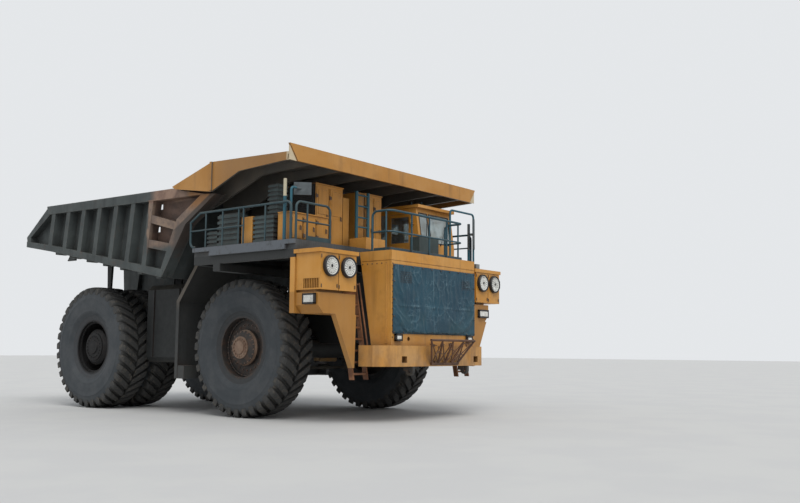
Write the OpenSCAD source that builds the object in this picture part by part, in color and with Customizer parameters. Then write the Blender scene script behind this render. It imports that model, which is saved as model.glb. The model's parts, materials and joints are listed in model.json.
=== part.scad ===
// Rigid mining dump truck with a single cab, a canopied rock body and six lugged tyres.
// Millimetres. Front of the truck towards -Y, its left (cab) side towards +X, ground at z = 0.

/* [Overall] */
// Distance between the front and rear axles
wheelbase = 5300; // [4900:50:5700]
// From the rear axle to the tip of the body's tail
rear_overhang = 2690; // [2500:10:2900]

/* [Tyres and rims] */
// Outside diameter over the lugs
tyre_d = 3040; // [2900:10:3100]
// Width over the side walls
tyre_w = 860; // [800:10:900]
// Depth of the lugs
lug_h = 70; // [40:5:100]
// Lugs round each tyre
lug_count = 36; // [24:1:36]
// Gap between the two rear tyres of a pair
dual_gap = 130; // [100:5:160]
// Diameter of the rim's flange
rim_d = 1580; // [1480:10:1650]
// Centre distance of the front tyres
front_track = 4320; // [4260:10:4380]
// Centre distance of the rear tyre pairs
rear_track = 3870; // [3850:10:3950]

/* [Frame] */
// Distance between the inner faces of the rails
rail_gap = 840; // [760:10:880]
// Width of a rail
rail_w = 270; // [220:10:280]
// Top of the rails
frame_top = 2790; // [2740:10:2800]
// Depth of the rails behind the front axle
rail_h = 760; // [600:10:800]
// Half distance between the kingpins
kingpin_x = 1450; // [1420:5:1480]

/* [Front box] */
// Half width of the radiator box
hood_half_w = 1540; // [1440:10:1600]
// Top of the radiator box
hood_top = 3550; // [3450:10:3600]
// Underside of the radiator box, which is the bumper's top
hood_bottom = 1580; // [1500:10:1650]
// From the front axle to the face of the radiator box
hood_reach = 3470; // [3400:10:3500]
// Depth of the radiator box along its top
hood_depth = 870; // [800:10:950]
// Sheet thickness of the box and the cab's panels
sheet = 40; // [30:5:60]
// From the radiator box's face to the bumper's face
bumper_out = 180; // [120:10:240]
// Depth of the bumper beam
bumper_h = 430; // [380:10:450]
// From the bumper's face to the tip of the folded step frame
step_reach = 260; // [200:10:320]

/* [Deck] */
// Half width of the deck
deck_half_w = 3300; // [3250:10:3350]
// Walking surface of the right wing
deck_top = 3680; // [3640:10:3720]
// Walking surface beside the cab
cab_deck_top = 3400; // [3360:10:3440]
// Thickness of the deck
deck_t = 90; // [60:10:120]
// Distance of the right wing's inner edge from the middle plane
wing_in = 600; // [580:10:620]
// From the front axle back to the deck's rear edge
deck_behind = 750; // [700:10:800]
// Height of the hand rails above the right wing
rail_height = 800; // [700:10:900]
// Diameter of the rail tubes
tube_d = 50; // [40:2:60]

/* [Lamp boxes] */
// Width of a lamp box
lamp_w = 1050; // [1000:10:1080]
// Height of a lamp box
lamp_h = 730; // [680:10:760]
// Depth of a lamp box
lamp_depth = 665; // [600:10:700]
// Diameter of the drum lamps
lamp_d = 400; // [360:10:430]

/* [Cab] */
// From the deck's left edge to the cab's outer side face
cab_inset = 750; // [700:10:800]
// Width of the cab
cab_w = 1450; // [1400:10:1500]
// Length of the cab at its base
cab_l = 1700; // [1600:10:1750]
// Height of the cab's shell
cab_h = 1530; // [1450:10:1560]

/* [Body] */
// Height of the whole truck, over the canopy's lip
canopy_top = 5625; // [5580:5:5700]
// Half width of the body over its top rails
bed_half_w = 3200; // [3100:10:3250]
// Half width of the canopy
canopy_half_w = 3350; // [3300:10:3400]
// Thickness of the body's plates
bed_plate = 60; // [40:5:80]
// Depth of the side ribs
rib_depth = 230; // [150:10:230]
// Ribs on each side wall
rib_count = 7; // [4:1:7]
// Distance between two side ribs
rib_pitch = 680; // [560:10:690]
// Height of the tipping hinge
hinge_z = 2500; // [2480:5:2510]
// From the rear axle back to the tipping hinge
hinge_back = 1250; // [1200:10:1300]

/* [Cylinders] */
// Outside diameter of the hoist barrels
hoist_d = 300; // [260:10:320]
// Centre distance of the hoist cylinders from the middle plane
hoist_x = 1060; // [1040:10:1090]
// Outside diameter of the steering barrels
steer_d = 130; // [110:5:150]

/* [Clearances] */
// Radial running clearance of pins and shafts
pin_clear = 0.5; // [0.4:0.1:1.5]
// Gap between a piece and the seat that it rests on
seat_gap = 0.3; // [0.2:0.1:0.5]
// Gap between bodies that move past each other
move_gap = 12; // [8:1:20]

/* [Hidden] */

fine = 96;
medium = 48;
small = 24;
rubber_sides = 24;

front_overhang = hood_reach + bumper_out + step_reach;
overall_l = front_overhang + wheelbase + rear_overhang;
front_y = front_overhang - overall_l / 2;
rear_y = front_y + wheelbase;
hub_z = tyre_d / 2;
tyre_r = tyre_d / 2;
dual_w = 2 * tyre_w + dual_gap;
dual_in = rear_track / 2 - dual_w / 2;
rail_in = rail_gap / 2;
rail_out = rail_in + rail_w;

paint = [0.72, 0.49, 0.18];
steel_dark = [0.20, 0.21, 0.21];
bed_grey = [0.26, 0.27, 0.26];
rust = [0.42, 0.30, 0.22];
rail_blue = [0.16, 0.36, 0.42];
rubber = [0.13, 0.14, 0.15];
rod_steel = [0.62, 0.63, 0.64];
glass_tint = [0.25, 0.35, 0.38];
lamp_white = [0.86, 0.87, 0.85];
column_grey = [0.30, 0.36, 0.34];
cover_blue = [0.16, 0.33, 0.40];

// Outline drawn in (y, z) and extruded along x from x0 to x1
module side_cut(x0, x1, pts) {
    translate([x0, 0, 0]) rotate([90, 0, 90]) linear_extrude(x1 - x0) polygon(pts);
}

// Outline drawn in (x, z) and extruded along y from y0 to y1
module front_cut(y0, y1, pts) {
    translate([0, y1, 0]) rotate([90, 0, 0]) linear_extrude(y1 - y0) polygon(pts);
}

// Outline drawn in (x, y) and extruded along z from z0 to z1
module top_cut(z0, z1, pts) {
    translate([0, 0, z0]) linear_extrude(z1 - z0) polygon(pts);
}

module block(lo, hi) {
    translate(lo) cube(hi - lo);
}

module both_sides() {
    children();
    mirror([1, 0, 0]) children();
}

// Round bar between two points
module rod(a, b, r, sides = small) {
    d = b - a;
    turn = atan2(d.y, d.x);
    lean = atan2(norm([d.x, d.y]), d.z);
    translate(a) rotate([0, lean, turn]) cylinder(h = norm(d), r = r, $fn = sides);
}

// Round bar along x
module bar_x(x0, x1, y, z, r, sides = medium) {
    translate([x0, y, z]) rotate([0, 90, 0]) cylinder(h = x1 - x0, r = r, $fn = sides);
}

// Round bar along y
module bar_y(x, y0, y1, z, r, sides = medium) {
    translate([x, y0, z]) rotate([-90, 0, 0]) cylinder(h = y1 - y0, r = r, $fn = sides);
}

// Upright round bar
module post(x, y, z0, z1, r, sides = small) {
    translate([x, y, z0]) cylinder(h = z1 - z0, r = r, $fn = sides);
}

function mix(a, b, t) = a + (b - a) * t;
function heading(a, b) = atan2(b.y - a.y, b.x - a.x);
function wrap(a) = a > 180 ? a - 360 : a <= -180 ? a + 360 : a;

// Bent tube in the xy plane: straight runs with an elbow of radius bend at each inner point
module bent_tube(pts, r, bend) {
    last = len(pts) - 1;
    turns = [for (i = [0:last]) i == 0 || i == last ? 0
        : wrap(heading(pts[i], pts[i + 1]) - heading(pts[i - 1], pts[i]))];
    cut = [for (t = turns) bend * tan(abs(t) / 2)];
    for (i = [0:last - 1]) {
        a = heading(pts[i], pts[i + 1]);
        run = norm(pts[i + 1] - pts[i]) - cut[i] - cut[i + 1];
        translate([pts[i].x, pts[i].y, 0]) rotate([0, 0, a]) translate([cut[i], 0, 0])
            rotate([0, 90, 0]) cylinder(h = run, r = r, $fn = small);
        if (i > 0) {
            before = heading(pts[i - 1], pts[i]);
            side = turns[i] > 0 ? 1 : -1;
            start = side > 0 ? before - 90 : before + 90 + turns[i];
            translate([pts[i].x, pts[i].y, 0]) rotate([0, 0, before])
                translate([-cut[i], side * bend, 0]) rotate([0, 0, start - before])
                rotate_extrude(angle = abs(turns[i]), $fn = medium)
                translate([bend, 0]) circle(r = r, $fn = small);
        }
    }
}

// Stands a drawing made in the xy plane up in the xz plane
module upright_x(y) {
    translate([0, y, 0]) rotate([90, 0, 0]) children();
}

// Stands a drawing made in the xy plane up in the yz plane
module upright_y(x) {
    translate([x, 0, 0]) rotate([90, 0, 90]) children();
}

// Lengths of the front end, from the radiator box back to the deck
hood_y = front_y - hood_reach;
hood_back_top = hood_y + hood_depth;
hood_back_low = hood_back_top - 340;
bumper_y = hood_y - bumper_out;
bumper_top = hood_bottom;
bumper_bottom = bumper_top - bumper_h;
deck_front = hood_back_top + 220;
deck_back = front_y + deck_behind;
portal_top = cab_deck_top - deck_t;
cab_x = deck_half_w - cab_inset - cab_w;
canopy_under = canopy_top - 395;
tower_top = 2560;

// Frame: two box rails, cross members and the brackets that they carry
frame_nose = bumper_y + 400;
nose_z = [bumper_bottom + 80, bumper_top - 10];
engine_seat = 2300;
rail_bottom = frame_top - rail_h;
hinge_y = rear_y + hinge_back;
boss_r = frame_top - hinge_z - move_gap;
pin_r = 110;
ear_w = 110;
ear_x = rail_out + move_gap;
strut_x = 860;
strut_seat = 2280;
kingpin_r = 80;
fork_gap = 330;
fork_t = 130;
arm_t = 90;
arm_top = hub_z - fork_gap / 2 - fork_t - move_gap;
arm_l = 420;
eye_t = 90;
steer_z = arm_top + seat_gap + eye_t / 2;
steer_base = [450, front_y + 500];
steer_pin_r = 35;
cross_tube = [rear_y - 1650, frame_top - rail_h / 2];
cross_tube_r = 230;
rear_beam = [2260, 2500];
hoist_foot = [rear_y - 2450, 1050];
hoist_head = [rear_y - 1050, 3050];
foot_pin_r = 60;
hoist_eye_w = 190;
keel_z = frame_top + move_gap;
pad_l = 320;
pad_y = [rear_y - 3000, rear_y - 1900, rear_y - 500];

module frame_rail() {
    waist = 1640;
    arch = 1950;
    tail_low = 2240;
    difference() {
        union() {
            side_cut(rail_in, rail_out, [[frame_nose, nose_z[0]], [front_y - 2400, nose_z[0]],
                [front_y - 1900, waist], [front_y - 700, waist], [front_y - 450, arch],
                [front_y + 900, arch], [front_y + 1400, rail_bottom],
                [rear_y - 950, rail_bottom], [rear_y - 700, tail_low],
                [rear_y + 650, tail_low], [hinge_y, hinge_z - boss_r + 10],
                [hinge_y, frame_top], [front_y + 1300, frame_top],
                [front_y + 600, engine_seat], [front_y - 2350, engine_seat],
                [front_y - 2560, nose_z[1]], [frame_nose, nose_z[1]]]);
            bar_x(rail_in, rail_out, hinge_y, hinge_z, boss_r);
        }
        bar_x(rail_in - 1, rail_out + 1, hinge_y, hinge_z, pin_r);
    }
}

module frame() {
    pin_half = ear_x + ear_w + 60;
    color(steel_dark) {
        both_sides() {
            frame_rail();
            hoist_bracket();
            steer_bracket();
            strut_tower();
            for (y = pad_y)
                block([rail_in + 40, y, frame_top - 1], [rail_out - 40, y + pad_l, keel_z - seat_gap]);
        }
        bar_x(-rail_in - 5, rail_in + 5, cross_tube[0], cross_tube[1], cross_tube_r);
        block([-rail_in - 1, rear_y + 580, rear_beam[0]], [rail_in + 1, rear_y + 800, rear_beam[1]]);
        block([-rail_in - 1, front_y - 2750, nose_z[0] + 60],
            [rail_in + 1, front_y - 2450, nose_z[1] - 60]);
        block([-rail_in - 1, front_y + 480, 2000], [rail_in + 1, front_y + 720, 2280]);
    }
    color(rod_steel) bar_x(-pin_half, pin_half, hinge_y, hinge_z, pin_r);
}

// Plate and pin under the rail for the foot of a hoist cylinder
module hoist_bracket() {
    y = hoist_foot[0];
    z = hoist_foot[1];
    inner = hoist_x - hoist_eye_w / 2 - pin_clear;
    cap_x = hoist_x + hoist_eye_w / 2 + pin_clear;
    side_cut(rail_in + 40, rail_out, [[y - 260, rail_bottom + 20], [y - 150, z - 130],
        [y + 150, z - 130], [y + 260, rail_bottom + 20]]);
    bar_x(rail_out - 5, cap_x + 5, y, z, foot_pin_r);
    bar_x(cap_x, cap_x + 30, y, z, foot_pin_r + 30);
    bar_x(rail_out - 5, inner, y, z, foot_pin_r + 30);
}

// Arm and pin under the rail for the inner end of a steering cylinder
module steer_bracket() {
    x = steer_base[0];
    y = steer_base[1];
    top = steer_z + steer_d / 2 + move_gap;
    low = steer_z - eye_t / 2;
    block([x - 100, y - 110, top], [x + 100, y + 110, 1960]);
    post(x, y, low - 10, top + 5, steer_pin_r, medium);
    post(x, y, low - 40, low - 5, steer_pin_r + 15, medium);
}

// Round seat outside the rail above a front suspension cylinder
module strut_tower() {
    post(strut_x, front_y, strut_seat, tower_top, 180, medium);
    block([rail_out - 5, front_y - 150, strut_seat], [strut_x, front_y + 150, tower_top - 20]);
}

// Front axle: a tube beam with forked ends round the kingpins
axle_pad = 290;

module front_axle() {
    half = kingpin_x - 310;
    color(steel_dark) {
        bar_x(-half, half, front_y, hub_z, 230);
        both_sides() {
            for (s = [-1, 1]) fork_ear(hub_z + s * (fork_gap + fork_t) / 2 - fork_t / 2);
            block([kingpin_x - 430, front_y - 200, hub_z - fork_gap / 2 - fork_t],
                [kingpin_x - 300, front_y + 200, hub_z + fork_gap / 2 + fork_t]);
            post(strut_x, front_y, hub_z + 140, hub_z + axle_pad, 170, medium);
        }
    }
}

// Flat ear with a round end and a bore on the kingpin's axis
module fork_ear(z) {
    difference() {
        union() {
            post(kingpin_x, front_y, z, z + fork_t, 170, medium);
            block([kingpin_x - 340, front_y - 160, z], [kingpin_x, front_y + 160, z + fork_t]);
        }
        post(kingpin_x, front_y, z - 1, z + fork_t + 1, kingpin_r + pin_clear, medium);
    }
}

// Rear axle: drive housing, spindles and the arm that pulls it
spindle_r = 260;
housing_r = 560;
rear_strut = [300, rear_y + 690];
ledge_top = hub_z - 40;

module rear_axle() {
    tube_low = cross_tube[1] - cross_tube_r - seat_gap;
    nose = rear_y - 1560;
    half = dual_in - 2 * move_gap;
    color(steel_dark) {
        bar_x(-half, half, rear_y, hub_z, housing_r, fine);
        both_sides() {
            bar_x(dual_in - 60, dual_in + dual_w - 200, rear_y, hub_z, spindle_r);
            block([rear_strut[0] - 100, rear_y + 400, ledge_top - 90],
                [rear_strut[0] + 100, rear_strut[1] + 110, ledge_top]);
        }
        side_cut(-260, 260, [[rear_y - 480, hub_z - 260], [nose, hub_z - 60],
            [nose, hub_z + 200], [rear_y - 480, hub_z + 300]]);
        side_cut(-120, 120, [[cross_tube[0] - 50, tube_low], [nose, hub_z - 60],
            [nose + 160, hub_z - 60], [cross_tube[0] + 50, tube_low]]);
    }
}

// Suspension cylinders: front pair on the axle beam, rear pair behind the drive housing
module suspension_struts() {
    front_foot = hub_z + axle_pad + seat_gap;
    rear_foot = ledge_top + seat_gap;
    x = rear_strut[0];
    y = rear_strut[1];
    color(rod_steel) both_sides() {
        post(strut_x, front_y, front_foot, front_foot + 240, 100, medium);
        post(x, y, rear_foot, rear_foot + 400, 60, medium);
    }
    color(paint) both_sides() {
        post(strut_x, front_y, front_foot + 220, strut_seat - seat_gap, 150, medium);
        post(x, y, rear_foot + 380, rear_beam[0] - seat_gap, 90, medium);
    }
}

// Bumper beam with chamfered ends, bent back along the sides
bumper_half = hood_half_w + 410;
bumper_back = bumper_y + 700;

module bumper() {
    inner = hood_half_w + 100;
    color(paint) difference() {
        top_cut(bumper_bottom, bumper_top - seat_gap, [
            [-hood_half_w - 20, bumper_y], [hood_half_w + 20, bumper_y],
            [bumper_half, bumper_y + 330], [bumper_half, bumper_back],
            [inner, bumper_back], [hood_half_w, frame_nose - seat_gap],
            [-hood_half_w, frame_nose - seat_gap], [-inner, bumper_back],
            [-bumper_half, bumper_back], [-bumper_half, bumper_y + 330]]);
        both_sides() block([tow_x + 230, bumper_y - 1, bumper_bottom + 80],
            [tow_x + 400, bumper_y + 140, bumper_bottom + 210]);
    }
}

// Tow eyes: thick plates under the bumper with one cross bore each
tow_r = 45;
tow_x = 1000;
tow_t = 80;
tow_out = 90;

module tow_eyes() {
    y = bumper_y + 90;
    z = bumper_bottom - tow_out - 5;
    x0 = tow_x - tow_t / 2;
    x1 = tow_x + tow_t / 2;
    color(steel_dark) both_sides() difference() {
        union() {
            bar_x(x0, x1, y, z, tow_out);
            block([x0, y - tow_out, z], [x1, y + 160, bumper_bottom - seat_gap]);
        }
        bar_x(x0 - 1, x1 + 1, y, z, tow_r);
    }
}

// Radiator box: an open-backed shell with a tall window in its face and a seam round its head
window_x = hood_half_w - 70;
window_z = [hood_bottom + 300, hood_top - 320];
seam_z = hood_top - 220;
seam_w = 16;

module radiator_housing() {
    inside = [hood_y + sheet, hood_bottom + sheet, hood_top - sheet];
    back = hood_back_top - 60;
    color(paint) difference() {
        side_cut(-hood_half_w, hood_half_w, [[hood_y, hood_bottom], [hood_y, hood_top],
            [hood_back_top, hood_top], [hood_back_low, hood_bottom]]);
        side_cut(-hood_half_w + sheet, hood_half_w - sheet, [[inside[0], inside[1]],
            [inside[0], inside[2]], [hood_back_top + 1, inside[2]], [hood_back_low + 1, inside[1]]]);
        block([-window_x, hood_y - 1, window_z[0]], [window_x, inside[0] + 1, window_z[1]]);
        bar_y(-950, hood_y - 1, inside[0] + 1, hood_bottom + 140, 45);
        block([-hood_half_w - 1, hood_y - 1, seam_z], [hood_half_w + 1, hood_y + 8, seam_z + seam_w]);
        both_sides() block([hood_half_w - 8, hood_y - 1, seam_z],
            [hood_half_w + 1, back, seam_z + seam_w]);
    }
}

// Radiator core: a tank at top and bottom with upright tubes between them
core_tubes = 10;

module radiator_core() {
    y0 = hood_y + sheet + 20;
    half = hood_half_w - sheet - 10;
    step = (2 * half - 120) / (core_tubes - 1);
    z0 = hood_bottom + sheet + seat_gap;
    z1 = hood_top - sheet - 10;
    color(steel_dark) {
        block([-half, y0, z0], [half, y0 + 320, window_z[0] + 20]);
        block([-half, y0, window_z[1] - 20], [half, y0 + 320, z1]);
        block([-half, y0 + 80, window_z[0]], [half, y0 + 300, window_z[1]]);
        for (i = [0:core_tubes - 1]) {
            x = -half + 60 + i * step;
            block([x - 25, y0 + 20, window_z[0] + 10], [x + 25, y0 + 90, window_z[1] - 10]);
        }
    }
}

// Cold weather cover hung over the radiator's face
cover_t = 12;

module radiator_cover() {
    y = hood_y - seat_gap;
    color(cover_blue) block([-window_x - 30, y - cover_t, window_z[0] - 55],
        [window_x + 55, y, window_z[1] + 30]);
}

// Engine: one plain block on the rails
module engine_block() {
    seat = engine_seat + seat_gap;
    sump = rail_in - 40;
    half = 640;
    color(steel_dark) front_cut(hood_back_low + 690, front_y + 350, [[-sump, 1800],
        [sump, 1800], [sump, seat], [half, seat], [half, 3150], [-half, 3150],
        [-half, seat], [-sump, seat]]);
}

// Lamp boxes: places that the deck, the ladders and the lamps share
lamp_back = deck_front - 40;
lamp_y = lamp_back - lamp_depth;
lamp_x = [deck_half_w - 50 - lamp_w, deck_half_w - 50];
lamp_z = [3380 - lamp_h, 3380];
lamp_split = lamp_x[1] - 520;
lamp_at = [lamp_x[1] - 790, lamp_x[1] - 270];
lamp_mid = lamp_z[1] - 260;
lamp_r = lamp_d / 2;
ledge_t = 80;
fender_y = lamp_y + 60;
fender_z = [lamp_z[0] - 460, lamp_z[0] - 50];
fender_end = [lamp_x[1], lamp_x[1] - 410];
ladder_x = [hood_half_w + 100, lamp_x[0] - 120];

// Deck: right wing, lower cab level, riser, edge beams and the two portals that carry it
portal_y = front_y - 110;

module deck() {
    out = deck_half_w - 60;
    under = deck_top - deck_t;
    color(steel_dark) {
        block([-deck_half_w, deck_front, under], [-wing_in, deck_back, deck_top]);
        block([-wing_in - 40, deck_front, portal_top], [-wing_in, deck_back, deck_top - 1]);
        block([-wing_in - 1, deck_front, portal_top], [deck_half_w, deck_back, cab_deck_top]);
        block([-hood_half_w, hood_back_top + seat_gap, portal_top],
            [hood_half_w, deck_front + 1, cab_deck_top]);
        both_sides() {
            block([strut_x - 110, portal_y, tower_top + seat_gap],
                [strut_x + 110, portal_y + 220, portal_top + 1]);
            block([strut_x - 110, deck_front + 20, portal_top - 150],
                [lamp_x[0] - 50, deck_front + 200, portal_top + 1]);
            block([rail_in + 20, deck_front + 20, engine_seat + 1],
                [rail_out - 20, deck_front + 120, portal_top + 1]);
        }
        block([-out, portal_y, portal_top - 160], [out, portal_y + 220, portal_top + 1]);
        block([-out, deck_front, portal_top], [-out + 100, deck_back, under + 1]);
        for (y = [deck_front, deck_back - 90])
            block([-out, y, portal_top], [-wing_in, y + 90, under + 1]);
    }
    color(column_grey) block([-deck_half_w, deck_front + 250, under - 100],
        [-out, front_y + 190, deck_top]);
}

// Lamp boxes on both sides of the radiator box, with the fender boxes and columns below
vent_w = 420;
vent_h = 190;
louvre_t = 14;
louvres = 9;
gusset_t = 120;

module lamp_boxes() {
    color(paint) {
        both_sides() {
            lamp_box();
            block([lamp_x[0] - 60, lamp_y - 20, lamp_z[1] - 1],
                [deck_half_w - 10, deck_front - seat_gap, lamp_z[1] + ledge_t]);
            front_cut(fender_y, fender_y + gusset_t, [[ladder_x[1] + 40, fender_z[0] + 1],
                [lamp_split + 20, fender_z[0] + 1], [ladder_x[1] + 140, bumper_bottom - 30],
                [ladder_x[1] + 80, bumper_bottom - 30]]);
            block([lamp_x[1] - 200, lamp_back - 1, fender_z[0] + 10],
                [deck_half_w - 10, lamp_back + 130, portal_top - seat_gap]);
        }
        mirror([1, 0, 0]) fender(fender_end[0]);
        fender(fender_end[1]);
    }
}

// Box with a seam between its two lamps and a louvred vent in its outer face
module lamp_box() {
    vent_y = lamp_y + 40;
    vent_z = lamp_z[0] + 30;
    step = (vent_w - 40 - louvre_t) / (louvres - 1);
    difference() {
        block([lamp_x[0], lamp_y, lamp_z[0]], [lamp_x[1], lamp_back, lamp_z[1]]);
        block([lamp_x[1] - 40, vent_y, vent_z], [lamp_x[1] + 1, vent_y + vent_w, vent_z + vent_h]);
        block([lamp_split - 8, lamp_y - 1, lamp_z[0] - 1], [lamp_split + 8, lamp_y + 20, lamp_z[1] + 1]);
    }
    for (i = [0:louvres - 1]) {
        y = vent_y + 20 + i * step;
        block([lamp_x[1] - 41, y, vent_z - 1], [lamp_x[1] - 6, y + louvre_t, vent_z + vent_h + 1]);
    }
}

// Fender box below a lamp box, with its neck and a chamfered outer corner
module fender(end) {
    cut = 160;
    block([lamp_x[0] + 250, lamp_y + 160, fender_z[1] - 1], [end - 60, lamp_back, lamp_z[0] + 1]);
    front_cut(fender_y, lamp_back, [[lamp_x[0] - 50, fender_z[0]], [end - cut, fender_z[0]],
        [end, fender_z[0] + cut], [end, fender_z[1]], [lamp_x[0] - 50, fender_z[1]]]);
    block([end - 200, lamp_back - 60, fender_z[0] + cut + 1],
        [lamp_x[1] - 100, lamp_back, fender_z[1] - 100]);
}

// Round drum lamps and small box lamps on the front of the truck
module headlamps() {
    low = hood_bottom + 110;
    beacon_x = lamp_x[0] + 70;
    ledge = lamp_z[1] + ledge_t + seat_gap;
    side = fender_y + 60;
    color(lamp_white) {
        both_sides() for (x = lamp_at)
            bar_y(x, lamp_y - 45, lamp_y - seat_gap, lamp_mid, lamp_r - 22);
        box_lamp(fender_y - seat_gap, [lamp_x[0] + 170, lamp_x[0] + 550],
            [fender_z[0] + 110, fender_z[0] + 270]);
        block([-fender_end[0] - 50, side, fender_z[0] + 190],
            [-fender_end[0] - seat_gap, side + 300, fender_z[0] + 370]);
        for (x = [-1330, 1280]) box_lamp(hood_y - seat_gap, [x - 90, x + 90], [low, low + 110]);
        block([beacon_x, lamp_y + 40, ledge], [beacon_x + 150, lamp_y + 140, ledge + 120]);
    }
}

// Small box lamp whose back lies in the plane y
module box_lamp(y, x, z) {
    block([x[0], y - 50, z[0]], [x[1], y, z[1]]);
}

// Dark bezels round the drum lamps
module lamp_bezels() {
    inner = lamp_r - 20;
    color(steel_dark) both_sides() for (x = lamp_at)
        translate([x, lamp_y - seat_gap, lamp_mid]) rotate([90, 0, 0])
            rotate_extrude($fn = medium) polygon([[inner, 0], [lamp_r + 10, 0],
                [lamp_r + 10, 60], [lamp_r, 75], [inner, 75]]);
}

// Hand rails. Every rail's foot lies on the deck that carries it.
tube_r = tube_d / 2;
post_r = 0.8 * tube_r;
mid_r = 0.7 * tube_r;
bend_r = 130;
rail_x = deck_half_w - 40;
rail_top = deck_top + rail_height - tube_r;

module rails_right() {
    z = deck_top + seat_gap;
    mid = (z + rail_top) / 2;
    y0 = deck_front + tube_r + 15;
    y1 = deck_back + 120;
    corner = [320, 190];
    elbows = [[-rail_x, y1 - corner[0], rail_top], [-rail_x, y1, rail_top - corner[1]]];
    gate_y = deck_front + 1530;
    loop_x = [-rail_x + 60, -rail_x + 1060];
    color(rail_blue) {
        upright_y(-rail_x) {
            bent_tube([[y0 + 80, z], [y0 + 80, rail_top], [y1 - corner[0], rail_top]], tube_r, bend_r);
            bent_tube([[y1, rail_top - corner[1]], [y1, z + tube_r], [deck_back - 60, z + tube_r]],
                tube_r, bend_r);
            bent_tube([[gate_y, mid], [y1, mid]], mid_r, bend_r);
        }
        rod(elbows[0], elbows[1], tube_r);
        for (p = elbows) translate(p) sphere(r = tube_r + 3, $fn = small);
        for (y = [deck_back - 390, deck_back - 940, deck_back - 1450, gate_y, gate_y - 660])
            post(-rail_x, y, z, rail_top, post_r);
        upright_x(y0) bent_tube([[loop_x[0], z], [loop_x[0], rail_top], [loop_x[1], rail_top],
            [loop_x[1], z]], tube_r, bend_r);
        bar_x(loop_x[0], loop_x[1], y0, mid, mid_r, small);
        post(loop_x[0] + 320, y0, z, rail_top, post_r);
        block([loop_x[0] + 330, y0 - 8, z], [loop_x[1], y0 + 8, z + 100]);
    }
}

module rails_front() {
    z = hood_top + seat_gap;
    mid = (z + rail_top) / 2;
    y = hood_y + 300;
    y1 = hood_back_top - 60;
    x0 = -hood_half_w + 340;
    x1 = hood_half_w - 40;
    color(rail_blue) {
        translate([0, 0, rail_top]) rail_corners(x0, x1, y, y1 - bend_r, tube_r);
        translate([0, 0, mid]) rail_corners(x0, x1, y, y1, post_r);
        for (p = [[x0, y + bend_r], [mix(x0, x1, 0.27), y], [mix(x0, x1, 0.51), y],
            [mix(x0, x1, 0.76), y], [x1, y + bend_r]]) post(p.x, p.y, z, rail_top, post_r);
        for (x = [x0, x1]) upright_y(x) bent_tube([[y1 - bend_r - 1, rail_top], [y1, rail_top],
            [y1, z]], tube_r, bend_r);
    }
}

// Level tube along the front with both ends bent back to y1
module rail_corners(x0, x1, y, y1, r) {
    bent_tube([[x0, y1], [x0, y], [x1, y], [x1, y1]], r, bend_r);
}

module rails_left() {
    z = cab_deck_top + seat_gap;
    y0 = deck_front + 150;
    y1 = deck_back - 60;
    bays = 5;
    color(rail_blue) {
        upright_y(rail_x) bent_tube([[y0, z], [y0, rail_top], [y1, rail_top], [y1, z]],
            tube_r, bend_r);
        for (k = [0.36, 0.68]) upright_y(rail_x)
            bent_tube([[y0, mix(z, rail_top, k)], [y1, mix(z, rail_top, k)]], mid_r, bend_r);
        for (i = [1:bays - 1]) post(rail_x, mix(y0, y1, i / bays), z, rail_top, post_r);
    }
}

// Ladders between the lamp boxes and the radiator box, each with a grab rail
ladder_foot = [deck_front - 570, bumper_bottom - 270];
ladder_head = [deck_front - 140, portal_top];
rung_count = 10;

module ladders() {
    d = ladder_head - ladder_foot;
    grab_x = ladder_x[0] - 60;
    grab = ladder_foot + 0.8 * d;
    color(rust) both_sides() {
        for (x = ladder_x) side_cut(x - 20, x + 20, [ladder_foot, ladder_foot + [110, 0],
            ladder_head + [110, 0], ladder_head]);
        for (i = [0:rung_count - 1]) {
            p = ladder_foot + d * (i + 0.4) / (rung_count + 0.2);
            block([ladder_x[0] + 19, p[0] + 15, p[1]], [ladder_x[1] - 19, p[0] + 105, p[1] + 40]);
        }
        block([ladder_x[0] - 100, bumper_back + seat_gap, bumper_bottom + 150],
            [ladder_x[0] + 30, ladder_foot[0] + 160, bumper_bottom + 250]);
        rod([grab_x, ladder_foot[0] + 40, bumper_bottom + 240],
            [grab_x, grab[0] - 20, grab[1] + 60], post_r);
        rod([grab_x - 10, grab[0] - 20, grab[1] + 30], [ladder_x[0], grab[0] + 40, grab[1] + 30],
            post_r);
    }
}

// Folded mesh step frame on the front of the bumper
module front_step() {
    y = bumper_y - seat_gap;
    tip = bumper_y - step_reach;
    low = bumper_bottom + 50;
    high = hood_bottom + 120;
    spread = [-700, 900];
    squeeze = 0.6;
    bars = 5;
    color(rust) {
        for (i = [0:bars - 1]) {
            x = mix(spread[0], spread[1], i / (bars - 1));
            rod([x * squeeze, y - 30, low + 10], [x, tip + 25, high - 10], 20);
        }
        for (i = [0:bars - 2]) {
            x0 = mix(spread[0], spread[1], i / (bars - 1));
            x1 = mix(spread[0], spread[1], (i + 1) / (bars - 1));
            rod([x0 * squeeze, y - 30, low + 10], [x1, tip + 25, high - 10], 12);
            rod([x1 * squeeze, y - 30, low + 10], [x0, tip + 25, high - 10], 12);
        }
        rod([spread[0] * squeeze - 15, y - 25, low], [spread[1] * squeeze + 25, y - 25, low], 25);
        rod([spread[0] - 20, tip + 25, high], [spread[1] + 20, tip + 25, high], 25);
        for (x = spread) block([0.4 * x - 30, y - 40, low - 20], [0.4 * x + 30, y, low + 60]);
    }
}

// Cab shell: windscreen, side windows, door openings and rear window are cut through
cab_y = deck_front + 180;
cab_back = cab_y + cab_l;
cab_z = cab_deck_top + seat_gap;
cab_top = cab_deck_top + cab_h;
sill_z = cab_deck_top + 630;
lintel_z = cab_top - 140;
door_y = [cab_y + 250, cab_y + 950];
door_z = [cab_deck_top + 70, cab_top - 150];
gap = 10;
hinge_out = 32;
hinge_r = 12;
screen_lean = 130;
pane = [14, 26];

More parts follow.
